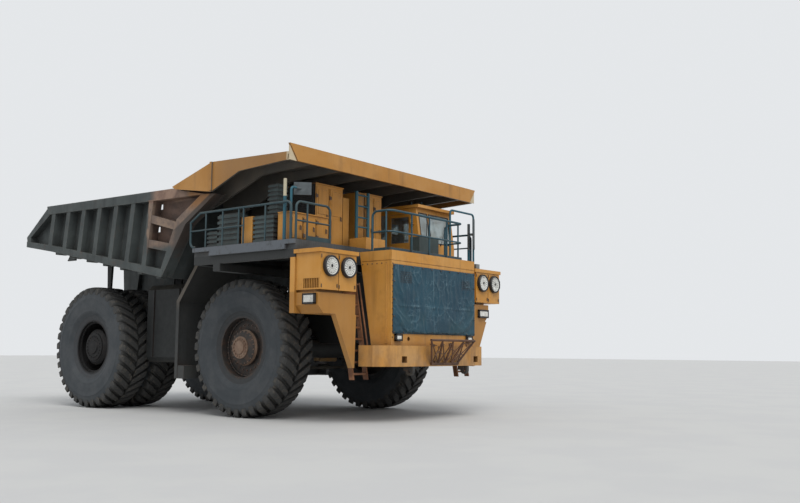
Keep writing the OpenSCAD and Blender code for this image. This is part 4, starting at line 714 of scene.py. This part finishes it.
def tyre_into(shape, treads, x, y):
    """Carcass with moulded rings and slanted lugs wrapped over both shoulders."""
    w = TYRE_W / 2
    half = [(0.0, 1.452), (0.16, 1.452), (0.32, 1.447), (0.372, 1.415), (0.4, 1.375),
            (0.418, 1.3), (0.424, 1.245), (0.43, 1.235), (0.43, 1.215), (0.426, 1.205),
            (0.43, 1.11), (0.427, 1.03), (0.418, 0.97), (0.41, 0.935), (0.412, 0.925),
            (0.408, 0.905), (0.392, 0.88), (0.372, 0.85), (0.345, 0.822), (0.338, 0.8),
            (0.3, BEAD_R + 0.002)]
    profile = [(-a, r) for a, r in reversed(half[1:])] + half
    at = Vector((x, y, HUB_Z))
    shape.revolve(at, (1, 0, 0), profile, TYRE_SIDES)
    ends = zip(profile, profile[1:] + profile[:1])
    treads += [float(min(a[1], b[1]) > TREAD_R) for a, b in ends] * TYRE_SIDES
    pitch = 2 * math.pi / LUGS
    # Along a lug from the middle out: x, radius of its top, share of the pitch that it fills
    stations = [(0.015, 1.519, 0.5), (0.09, 1.5195, 0.6), (0.19, 1.519, 0.64), (0.3, 1.516, 0.64),
                (0.372, 1.504, 0.6), (0.402, 1.478, 0.56), (0.416, 1.43, 0.5)]
    for side in (-1, 1):
        for i in range(LUGS):
            base = (i + (0.5 if side > 0 else 0.0)) * pitch
            vs = []
            for sx, top, share in stations:
                # Lugs run back towards the middle, their roots inside the carcass
                mid = base + 1.15 * pitch * (1 - sx / w) ** 1.2
                wide = share * pitch / 2
                low = 1.40 if sx < 0.37 else top - 0.1
                ring = [(low, -wide * 1.12), (top - 0.016, -wide), (top, -wide * 0.88),
                        (top, wide * 0.88), (top - 0.016, wide), (low, wide * 1.12)]
                vs += [(x + side * sx, y + r * math.cos(mid + a), HUB_Z + r * math.sin(mid + a))
                       for r, a in ring]
            fs = grid_faces(len(stations), 6, close_cols=True) + caps(len(stations), 6)
            shape.add(vs, fs)
            treads += [1.0] * len(fs)


def make_tyres(name, node, body, centres, y):
    """Tyres of one hub as one piece, in place of the plain ones."""
    shape, treads = Shape(), []
    for x in centres:
        tyre_into(shape, treads, x, y)
    o = shape.make(name, "tyre", body=body, sharp=30)
    layer = o.data.attributes.new("tread", "FLOAT", "FACE")
    for i, t in enumerate(treads):
        layer.data[i].value = t
    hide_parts(node)


SIDES = (("left", 1), ("right", -1))
for side, s in SIDES:
    make_tyres(f"tyre_detailed_front_{side}", f"tyre_front_{side}", f"wheel_front_{side}",
               [s * FRONT_X], FRONT_Y)
    make_tyres(f"tyre_detailed_rear_{side}", f"tyres_rear_{side}", f"wheel_rear_{side}",
               [s * (REAR_X - DUAL), s * (REAR_X + DUAL)], REAR_Y)

# Rim flange with its lock ring, from the wheel's middle outwards
FLANGE = [(0.298, 0.75), (0.298, 0.812), (0.312, 0.822), (0.332, 0.818), (0.338, 0.80),
          (0.322, 0.78), (0.318, 0.755), (0.31, 0.72), (0.298, 0.70)]


def wheel_details(side, s):
    """Rim flanges and lock rings, bolt circles and the rusty front hub caps."""
    out, inward = (s, 0, 0), (-s, 0, 0)
    front = f"wheel_front_{side}"
    rear = f"wheel_rear_{side}"
    ring, bolts, hub, back, nuts = (Shape() for _ in range(5))
    x = s * FRONT_X
    at = (x, FRONT_Y, HUB_Z)
    ring.revolve(at, inward, FLANGE, 96)
    ring.revolve(at, out, FLANGE, 96)
    ring.revolve(at, out, [(0.118, 0.60), (0.118, 0.645), (0.15, 0.645), (0.158, 0.62),
                           (0.15, 0.60)], 72)
    ring.make(f"rim_rings_front_{side}", "rim_rust", body=front, sharp=SHARP)
    bolts.bolts(x + s * 0.15, FRONT_Y, out, 0.622, 32, 0.014)
    bolts.bolts(x + s * 0.1195, FRONT_Y, out, 0.50, 24, 0.018)
    bolts.make(f"rim_bolts_front_{side}", "rim_rust", bolt_steel, front)
    hub.revolve(at, out, [(0.325, CORE), (0.325, 0.245), (0.352, 0.245), (0.362, 0.235),
                          (0.362, 0.15), (0.385, 0.14), (0.395, 0.11), (0.402, CORE)])
    hub.revolve(at, out, [(0.2, 0.35), (0.2, 0.395), (0.255, 0.372), (0.262, 0.35), (0.262, 0.33)])
    hub.bolts(x + s * 0.362, FRONT_Y, out, 0.195, 16, 0.018)
    hub.bolts(x + s * 0.26, FRONT_Y, out, 0.345, 20, 0.016, 0.1)
    hub.make(f"hub_cap_front_{side}", "rim_rust", hub_rust, front, SHARP)
    at = (s * (REAR_X + DUAL), REAR_Y, HUB_Z)
    back.revolve(at, out, FLANGE, 96)
    back.revolve(at, out, [(0.16, 0.655), (0.16, 0.63), (0.2, 0.60), (0.235, 0.60),
                           (0.245, 0.655)], 72)
    back.revolve((s * (REAR_X - DUAL), REAR_Y, HUB_Z), inward, FLANGE, 96)
    x = s * (REAR_X + 0.735)
    back.revolve((x, REAR_Y, HUB_Z), out, [(-0.002, CORE), (-0.002, 0.35), (0.02, 0.35),
                 (0.03, 0.33), (0.03, 0.18), (0.055, 0.165), (0.06, CORE)])
    back.make(f"rim_rings_rear_{side}", "rim_dark", body=rear, sharp=SHARP)
    nuts.bolts(x + s * 0.03, REAR_Y, out, 0.27, 20, 0.016)
    nuts.bolts(s * (REAR_X + DUAL + 0.235), REAR_Y, out, 0.625, 28, 0.012)
    nuts.make(f"rim_bolts_rear_{side}", "rim_dark", body=rear)


for side, s in SIDES:
    wheel_details(side, s)

# Tarpaulin tied over the radiator
TARP_LO, TARP_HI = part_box("radiator_cover")
TARP_SLACK = 0.007
TARP_COLS, TARP_ROWS = 150, 74
# Least, first and most distance of the sheet from the box's face, and how far folds stand out
TARP_NEAR, TARP_START, TARP_FAR, FOLD_OUT = 0.004, 0.016, 0.055, 0.022
CLOTH_FRAMES = 34


def ties(lo, hi, count, spans):
    """Places of the studs along an edge of the sheet, each at one of its points."""
    last = count - 1
    return [lo + (hi - lo) * round(i * last / spans) / last for i in range(spans + 1)]


def make_tarp():
    """Sheet with packed folds, hung from its edges in front of the radiator box."""
    x0, x1, z0, z1 = TARP_LO[0], TARP_HI[0], TARP_LO[2], TARP_HI[2]
    y = HOOD_Y - TARP_START
    vs = []
    for j in range(TARP_ROWS):
        for i in range(TARP_COLS):
            u, v = i / (TARP_COLS - 1), j / (TARP_ROWS - 1)
            px, pz = x0 + (x1 - x0) * u, z0 + (z1 - z0) * v
            inner = min(1.0, 12 * min(u, 1 - u, v, 1 - v))
            # Wide and fine folds, each from its own layer of the noise
            swirl = 1.1 * noise.noise(Vector((px * 1.3, pz * 1.3, 5.7)))
            fold = 1 - abs(noise.noise(Vector((px * 2.6 + swirl, pz * 2.6 - swirl, 3.1)))) * 3.2
            fine = 1 - abs(noise.noise(Vector((px * 6 - swirl, pz * 5 + swirl, 9.4)))) * 3.0
            crest = max(0.0, fold) ** 2 + 0.45 * max(0.0, fine) ** 2
            crest += 0.7 * max(0.0, 1 - abs(pz - FOLD_Z) / FOLD_W)
            crest += 0.6 * max(0.0, 1 - abs(px - FOLD_X) / FOLD_W)
            vs.append((px, y - FOLD_OUT * inner * crest, pz))
    fs = grid_faces(TARP_ROWS, TARP_COLS)
    tarp = piece("radiator_tarp", vs, fs, "cover_cloth", smooth=True)
    drape(tarp)
    for v in tarp.data.vertices:
        v.co.y = min(max(v.co.y, HOOD_Y - TARP_FAR), HOOD_Y - TARP_NEAR)
    return tarp


def drape(tarp):
    """Lets the slack sheet hang from its ties against the box's face, and keeps the result."""
    scene = bpy.context.scene
    pins = tarp.vertex_groups.new(name="pins")
    pins.add([j * TARP_COLS + i for j in range(TARP_ROWS) for i in range(TARP_COLS)
              if j in (0, TARP_ROWS - 1) or i in (0, TARP_COLS - 1)], 1.0, "REPLACE")
    wall = bpy.data.meshes.new("tarp_wall")
    yw = HOOD_Y - TARP_NEAR
    wall.from_pydata([(-2, yw, 1), (2, yw, 1), (2, yw, 4), (-2, yw, 4)], [], [(0, 1, 2, 3)])
    wall_obj = linked(bpy.data.objects.new("tarp_wall", wall))
    wall_obj.modifiers.new("hit", "COLLISION")
    wall_obj.collision.thickness_outer = TARP_NEAR
    cloth = tarp.modifiers.new("cloth", "CLOTH")
    settings = dict(quality=6, mass=0.4, tension_stiffness=25, compression_stiffness=25,
                    shear_stiffness=12, bending_stiffness=0.25, vertex_group_mass="pins",
                    shrink_min=-TARP_SLACK, shrink_max=-TARP_SLACK)
    for key, value in settings.items():
        setattr(cloth.settings, key, value)
    cloth.settings.effector_weights.gravity = 0.12
    cloth.collision_settings.use_collision = True
    cloth.collision_settings.distance_min = TARP_NEAR
    cloth.collision_settings.use_self_collision = False
    cloth.point_cache.frame_start = 1
    cloth.point_cache.frame_end = CLOTH_FRAMES
    for f in range(1, CLOTH_FRAMES + 1):
        scene.frame_set(f)
    deps = bpy.context.evaluated_depsgraph_get()
    baked = bpy.data.meshes.new_from_object(tarp.evaluated_get(deps))
    tarp.modifiers.clear()
    old = tarp.data
    tarp.data = baked
    bpy.data.meshes.remove(old)
    tarp.vertex_groups.clear()
    bpy.data.objects.remove(wall_obj)
    scene.frame_set(1)


tarp = make_tarp()
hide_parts("radiator_cover")
sub = tarp.modifiers.new("sub", "SUBSURF")
sub.levels = sub.render_levels = 1


def tarp_trim():
    """Studs that hold the sheet, round its edges."""
    x0, x1, z0, z1 = TARP_LO[0], TARP_HI[0], TARP_LO[2], TARP_HI[2]
    s = Shape()
    y = HOOD_Y - GAP
    eyes = [(px, pz) for px in ties(x0, x1, TARP_COLS, 9) for pz in (z0, z1)]
    eyes += [(px, pz) for pz in ties(z0, z1, TARP_ROWS, 4)[1:-1] for px in (x0, x1)]
    for px, pz in eyes:
        px = min(max(px, x0 + 0.03), x1 - 0.03)
        pz = min(max(pz, z0 + 0.03), z1 - 0.03)
        s.prism((px, y - 0.001, pz), (0, -1, 0), 0.016, 0.03, 16, 0.014)
        s.prism((px, y - 0.031, pz), (0, -1, 0), 0.011, 0.008, 6, 0.01)
    return s.make("tarp_studs", "trim_black", bolt_steel)


studs = tarp_trim()

# Lamps: drum lamps in pairs on both sides, box lamps on the fenders and under the sheet
LAMP_X, LAMP_Y, LAMP_Z = (2.46, 2.98), -5.125, 3.12
BOX_LAMPS = [((2.37, -5.115, 2.30), (2.75, -5.065, 2.46)),
             ((-1.42, -5.56, 1.69), (-1.24, -5.51, 1.80)),
             ((1.19, -5.56, 1.69), (1.37, -5.51, 1.80))]
SIDE_LAMP = ((-3.30, -5.005, 2.38), (-3.25, -4.705, 2.56))


# Faces of a pad of the drum lamps' glass
PAD = [(6, 7, 9, 8), (8, 9, 11, 10), (0, 1, 7, 6), (4, 10, 11, 5), (0, 6, 8, 2), (2, 8, 10, 4),
       (1, 3, 9, 7), (3, 5, 11, 9), (0, 2, 3, 1), (2, 4, 5, 3)]


def drum_lamps():
    """Ring of fluted pads, centre bulb and rim screws for each drum lamp."""
    out = (0, -1, 0)
    glass_ring, bulb, screws = Shape(), Shape(), Shape()
    for x in [s * x for s in (-1, 1) for x in LAMP_X]:
        face = LAMP_Y - 0.0455
        at = (x, face, LAMP_Z)
        glass_ring.revolve(at, out, [(0.0, 0.148), (0.011, 0.152), (0.013, 0.172), (0.0, 0.177)])
        for i in range(16):
            vs = []
            for d, grow in ((0.0, 0.0), (0.012, -0.004)):
                for r, k in ((0.062, 0.85), (0.1, 1.0), (0.143, 1.0)):
                    for turn in (-0.135 * k, 0.135 * k):
                        c, s = circle(16, turn)[i]
                        vs.append((x + (r + grow) * c, face - d, LAMP_Z + (r + grow) * s))
            glass_ring.add(vs, PAD)
        glass_ring.revolve(at, out, [(0.0, 0.036), (0.014, 0.038), (0.014, 0.05), (0.0, 0.054)], 40)
        bulb.revolve(at, out, [(0.0, CORE), (0.0, 0.03), (0.014, 0.026), (0.02, 0.012),
                               (0.021, CORE)], 32)
        for c, s in circle(8, math.pi / 8):
            screws.bolt((x + 0.195 * c, LAMP_Y - 0.0755, LAMP_Z + 0.195 * s), out, 0.008)
    glass_ring.make("drum_lamp_glass", "lamp_white", lamp_glass, sharp=SHARP)
    bulb.make("drum_lamp_bulbs", "trim_black", sharp=SHARP)
    screws.make("drum_lamp_screws", "trim_black", bolt_steel)


def frame_bars_round(u0, u1, z0, z1, out, over):
    """Corners of four bars round a lamp's face: how far they reach out, and in over its rim."""
    left, right, low, high = u0 - out, u1 + out, z0 - out, z1 + out
    return (((left, low), (u0 + over, high)), ((u1 - over, low), (right, high)),
            ((left, low), (right, z0 + over)), ((left, z1 - over), (right, high)))


def flutes_between(lo, hi, count):
    """Middles of the flutes on a lamp's glass, inside its rim."""
    return [lo + 0.02 + (hi - lo - 0.04) * (i + 0.5) / count for i in range(count)]


def box_lamp_frames():
    """Dark frame and fluted glass on each small box lamp."""
    bars, flutes = Shape(), Shape()
    for (x0, face, z0), (x1, wall, z1) in BOX_LAMPS:
        for a, b in frame_bars_round(x0, x1, z0, z1, 0.018, 0.016):
            bars.box((a[0], face - 0.014, a[1]), (b[0], wall - GAP, b[1]), 0.005)
        for x in flutes_between(x0, x1, round((x1 - x0) / 0.022)):
            flutes.box((x - 0.008, face - 0.008, z0 + 0.02),
                       (x + 0.008, face - 0.0003, z1 - 0.02), 0.003)
    (face, y0, z0), (wall, y1, z1) = SIDE_LAMP
    for a, b in frame_bars_round(y0, y1, z0, z1, 0.015, 0.018):
        bars.box((face - 0.012, *a), (wall - GAP, *b), 0.005)
    for y in flutes_between(y0, y1, 12):
        flutes.box((face - 0.007, y - 0.008, z0 + 0.02), (face - 0.0003, y + 0.008, z1 - 0.02),
                   0.003)
    bars.make("box_lamp_frames", "trim_black")
    flutes.make("box_lamp_glass", "lamp_white", lamp_glass)


drum_lamps()
box_lamp_frames()

# Cabinets on the right wing: (x range, front y, z range, door seams)
CABINETS = [((-3.1, -1.95), -4.09, (3.68, 4.27), (-2.72, -2.33)),
            ((-1.93, -1.05), -3.69, (3.68, 5.08), (-1.5,)),
            ((-0.28, 0.32), -3.69, (3.4, 5.08), (0.02,))]


def cabinet_doors():
    """Raised door sheets with hinges and latches, and a dark side grille."""
    sheets, irons, grille = Shape(), Shape(), Shape()
    for (x0, x1), y, (z0, z1), seams in CABINETS:
        cuts = [x0, *seams, x1]
        for a, b in zip(cuts, cuts[1:]):
            left, right, low, high = a + 0.03, b - 0.03, z0 + 0.07, z1 - 0.06
            mid = (low + high) / 2
            sheets.box((left, y - 0.012, low), (right, y - GAP, high), 0.004)
            if high - low > 1.0:
                for p, q in ((low + 0.05, mid - 0.04), (mid + 0.04, high - 0.05)):
                    sheets.box((left + 0.05, y - 0.018, p), (right - 0.05, y - 0.0115, q), 0.004)
            for k in (0.16, 0.84):
                z = low + (high - low) * k
                irons.prism((left - 0.008, y - 0.012, z - 0.045), (0, 0, 1), 0.011, 0.09, 10)
                irons.box((left, y - 0.016, z - 0.035), (left + 0.05, y - 0.0115, z + 0.035),
                          0.002)
            irons.box((right - 0.06, y - 0.024, mid - 0.05),
                      (right - 0.035, y - 0.0115, mid + 0.05), 0.004)
            x = right - 0.048
            irons.tube([(x, y - 0.024, mid + 0.03), (x, y - 0.05, mid + 0.025),
                        (x, y - 0.05, mid - 0.06)], 0.007, 8)
    # Dark slats on the tall cabinet's outer side, over its painted shade
    for i in range(20):
        z = 3.98 + 0.052 * i
        grille.box((-1.944, -3.62, z), (-1.9305, -2.80, z + 0.022), 0.003)
    for y in (-3.64, -2.80):
        grille.box((-1.948, y, 3.94), (-1.9305, y + 0.03, 5.03), 0.003)
    sheets.make("cabinet_doors", "body_yellow", own["cabinets"])
    irons.make("cabinet_irons", "rust_steel", bolt_steel)
    grille.make("cabinet_grille", "trim_black")


cabinet_doors()

# Cab, in the part's own places
CAB_X, CAB_FRONT, SILL_Z, CAB_TOP = (1.10, 2.55), -4.24, 4.03, 4.93
# Windscreens' x ranges and upper edge, and how far their wall leans back over its height
SCREENS, SCREEN_TOP, SCREEN_LEAN = ((1.20, 1.53), (1.59, 2.42)), 4.79, 0.13
SEAT_AT = Vector((1.8975, -3.19, 3.4406))


def screen_y(z):
    """Front face of the leaning windscreen wall at a height."""
    return CAB_FRONT + SCREEN_LEAN * (z - SILL_Z) / (CAB_TOP - SILL_Z)


def cab_details():
    """Rubber seals and wipers on the windscreen, roof posts and grab handles."""
    seals, irons = Shape(), Shape()
    for x0, x1 in SCREENS:
        z0, z1 = SILL_Z + 0.06, SCREEN_TOP
        ring = [(x, screen_y(z) - 0.003, z)
                for x, z in ((x0, z0), (x1, z0), (x1, z1), (x0, z1), (x0, z0))]
        for ends in zip(ring, ring[1:]):
            seals.tube(ends, 0.011, 8)
        foot = (x0 + (x1 - x0) * 0.45, screen_y(z0 - 0.03) - 0.014, z0 - 0.03)
        end = (x0 + (x1 - x0) * 0.72, screen_y(z0 + 0.34) - 0.016, z0 + 0.34)
        seals.tube([foot, end], 0.006, 6)
        seals.prism((foot[0], foot[1] + 0.012, foot[2]), (0, -1, 0), 0.022, 0.02, 12, 0.016)
        up = Vector((0.04, screen_y(0.22) - screen_y(0.0), 0.22))
        seals.tube([Vector(end) - up, Vector(end) + up * 0.5], 0.008, 6)
    for x, y in ((1.35, -3.8), (1.5, -4.0)):
        irons.tube([(x, y, 4.979), (x, y, 5.1)], 0.014, 10)
        irons.prism((x, y, 4.9795), (0, 0, 1), 0.03, 0.01, 12)
    for x in CAB_X:
        s = -1 if x < 2 else 1
        handle = ((0.001, 4.3), (0.05, 4.32), (0.05, 4.68), (0.001, 4.7))
        irons.tube([(x + s * d, -3.24, z) for d, z in handle], 0.011, 8)
    seals.make("cab_seals", "trim_black", sharp=SHARP)
    irons.make("cab_irons", "rail_blue")


def puffed(name, lo, hi, crown, lean=0.0):
    """Closed cushion between two corners, crowned in the middle, its sides drawn in."""
    mid, half = (lo + hi) / 2, (hi - lo) / 2
    bm = bmesh.new()
    bmesh.ops.create_cube(bm, size=2.0)
    bmesh.ops.subdivide_edges(bm, edges=bm.edges, cuts=13, use_grid_fill=True)
    thin = min(range(3), key=lambda i: half[i])
    a, b = [i for i in range(3) if i != thin]
    for v in bm.verts:
        p, q = v.co.copy(), v.co.copy()
        bulge = (1 - p[a] ** 2) * (1 - p[b] ** 2)
        for i, other in ((a, p[b]), (b, p[a])):
            q[i] *= 1 - 0.05 * (1 - other ** 2) - 0.10 * abs(p[thin]) ** 4
        # Two sewn grooves along the cushion
        seam = max(0.0, 1 - abs(abs(p[a]) - 0.45) / 0.07) * 0.12 * bulge
        q[thin] *= (1 - crown) + crown * bulge ** 0.5 - seam
        v.co = mid + q * half
        v.co.y += lean * (v.co.z - lo.z)
    o = piece(name, *taken(bm), "seat_cloth", smooth=True)
    return o


def driver_seat():
    """Seat and back cushions on a bolted plinth."""
    s = SEAT_AT
    base = Shape()
    base.box(s + Vector((-0.18, -0.18, 0.0)), s + Vector((0.18, 0.18, 0.25)), 0.015)
    base.box(s + Vector((-0.24, -0.24, 0.235)), s + Vector((0.24, 0.22, 0.262)), 0.006)
    for x in (-0.2, 0.2):
        post = ((0.2, 0.25), (0.27, 0.4), (0.33, 0.9))
        base.tube([s + Vector((x, y, z)) for y, z in post], 0.014)
    plinth = base.make("seat_plinth", "trim_black")
    seat = puffed("seat_cushion", s + Vector((-0.26, -0.26, 0.258)),
                  s + Vector((0.26, 0.235, 0.385)), 0.25)
    back = puffed("seat_back", s + Vector((-0.25, 0.125, 0.375)),
                  s + Vector((0.25, 0.235, 1.0)), 0.3, 0.165)
    for o in (plinth, seat, back):
        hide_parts("cab_seat")


cab_details()
driver_seat()


def front_details():
    """Seams, bolts and hinges of the radiator box and bumper, and kick plates on its hand rails."""
    irons, strips, kick = Shape(), Shape(), Shape()
    for x in (-1.5, 1.5):
        for i in range(14):
            irons.bolt((x, HOOD_Y - GAP, 1.75 + 0.117 * i), (0, -1, 0), 0.010)
    for s in (-1, 1):
        for i in range(6):
            irons.bolt((s * 1.5405, -5.38 + 0.13 * i, 3.28), (s, 0, 0), 0.010)
        strips.box((s * 1.545 - 0.006, -5.40, 1.62), (s * 1.545 + 0.006, -5.36, 3.30), 0.003)
        for a, b in (sorted((s * 2.215, s * 2.72)), sorted((s * 2.745, s * 3.235))):
            for z in (2.72, 3.30):
                irons.prism((a + 0.006, -5.131, z - 0.035), (0, 0, 1), 0.009, 0.07, 8)
            irons.box((b - 0.045, -5.14, 2.70), (b - 0.02, -5.1255, 2.77), 0.003)
    kick.box((-1.19, -5.196, 3.551), (1.49, -5.186, 3.66), 0.003)
    kick.box((-1.206, -5.19, 3.551), (-1.196, -4.75, 3.66), 0.003)
    irons.make("front_bolts", "rust_steel", bolt_steel)
    strips.make("hood_strips", "body_yellow")
    kick.make("kick_plates", "rail_blue")


def rib_ends():
    """Ends of the floor's cross ribs, which show below the body's lower edge."""
    ends = Shape()
    for s in (-1, 1):
        for i in range(7):
            y = 0.01 + 0.72 * i
            # The body's lower edge rises towards the rear
            low = 3.11 + 0.88 * (y + 0.07) / 4.64
            x0, x1 = sorted((s * 2.86, s * 3.15))
            ends.box((x0, y, low - 0.035), (x1, y + 0.16, low + 0.06), 0.012)
    ends.make("body_rib_ends", "bed_grey", body="bed")


def step_scrap():
    """Bent loose rods of the worn step mesh, each with one end on the frame's bars."""
    rng = random.Random(21)
    rods = Shape()
    for _ in range(16):
        k = rng.random()
        x = -0.7 + 1.6 * k
        low = Vector((0.6 * x + rng.uniform(-0.1, 0.1), -5.722, 1.21))
        high = Vector((x, -5.925, 1.69))
        t = rng.uniform(0.25, 0.9)
        start = low.lerp(high, t)
        turn = Vector((rng.uniform(-0.32, 0.32), rng.uniform(-0.015, 0.04),
                       rng.uniform(-0.16, 0.05)))
        mid = start + turn * 0.5 + Vector((0, 0, rng.uniform(-0.02, 0.05)))
        end = start + turn
        # Within the step's frame
        for p in (mid, end):
            p.x = min(max(p.x, -0.7), 0.92)
            p.y = min(max(p.y, -5.945), -5.71)
        rods.tube([start, mid, end], rng.uniform(0.008, 0.014), 7)
    rods.make("step_rods", "rust_steel")


front_details()
rib_ends()
step_scrap()
add_camera()


# Half width of the floor, and how far it lies below the tyres
FLOOR_R, FLOOR_DROP = 160.0, 0.002


def add_stage():
    """Pale floor, pale surroundings and soft light."""
    me = bpy.data.meshes.new("floor")
    r = FLOOR_R
    me.from_pydata([(-r, -r, 0), (r, -r, 0), (r, r, 0), (-r, r, 0)], [], [(0, 1, 2, 3)])
    floor = linked(bpy.data.objects.new("floor", me))
    floor.location.z = -FLOOR_DROP
    m = Mat("floor_pale", rough=0.85)
    m.color(m.mix((205, 205, 203), (202, 202, 201), m.blots(0.4, 0.6, 0.6, 5)))
    me.materials.append(m.mat)
    sun = bpy.data.lights.new("key", "SUN")
    sun.energy = 1.6
    sun.angle = math.radians(38)
    sun.color = (1.0, 0.985, 0.96)
    key = linked(bpy.data.objects.new("key", sun))
    key.rotation_euler = Vector((-0.55, -0.75, 1.35)).to_track_quat("Z", "Y").to_euler()
    world = bpy.data.worlds.new("studio")
    bpy.context.scene.world = world
    world.use_nodes = True
    tree = world.node_tree
    new, link = tree.nodes.new, tree.links.new
    light = tree.nodes["Background"]
    seen = new("ShaderNodeBackground")
    for node, colour, strength in ((light, (0.80, 0.83, 0.87, 1), 0.72),
                                   (seen, (0.78, 0.80, 0.82, 1), 1.0)):
        node.inputs["Color"].default_value = colour
        node.inputs["Strength"].default_value = strength
    rays = new("ShaderNodeLightPath").outputs
    direct = rays["Is Camera Ray"]
    for kind in ("Is Glossy Ray", "Is Transmission Ray"):
        either = new("ShaderNodeMath")
        either.operation = "MAXIMUM"
        link(direct, either.inputs[0])
        link(rays[kind], either.inputs[1])
        direct = either.outputs[0]
    mix = new("ShaderNodeMixShader")
    for i, socket in enumerate((direct, light.outputs[0], seen.outputs[0])):
        link(socket, mix.inputs[i])
    link(mix.outputs[0], tree.nodes["World Output"].inputs["Surface"])


add_stage()
bpy.context.scene.view_settings.view_transform = "Standard"
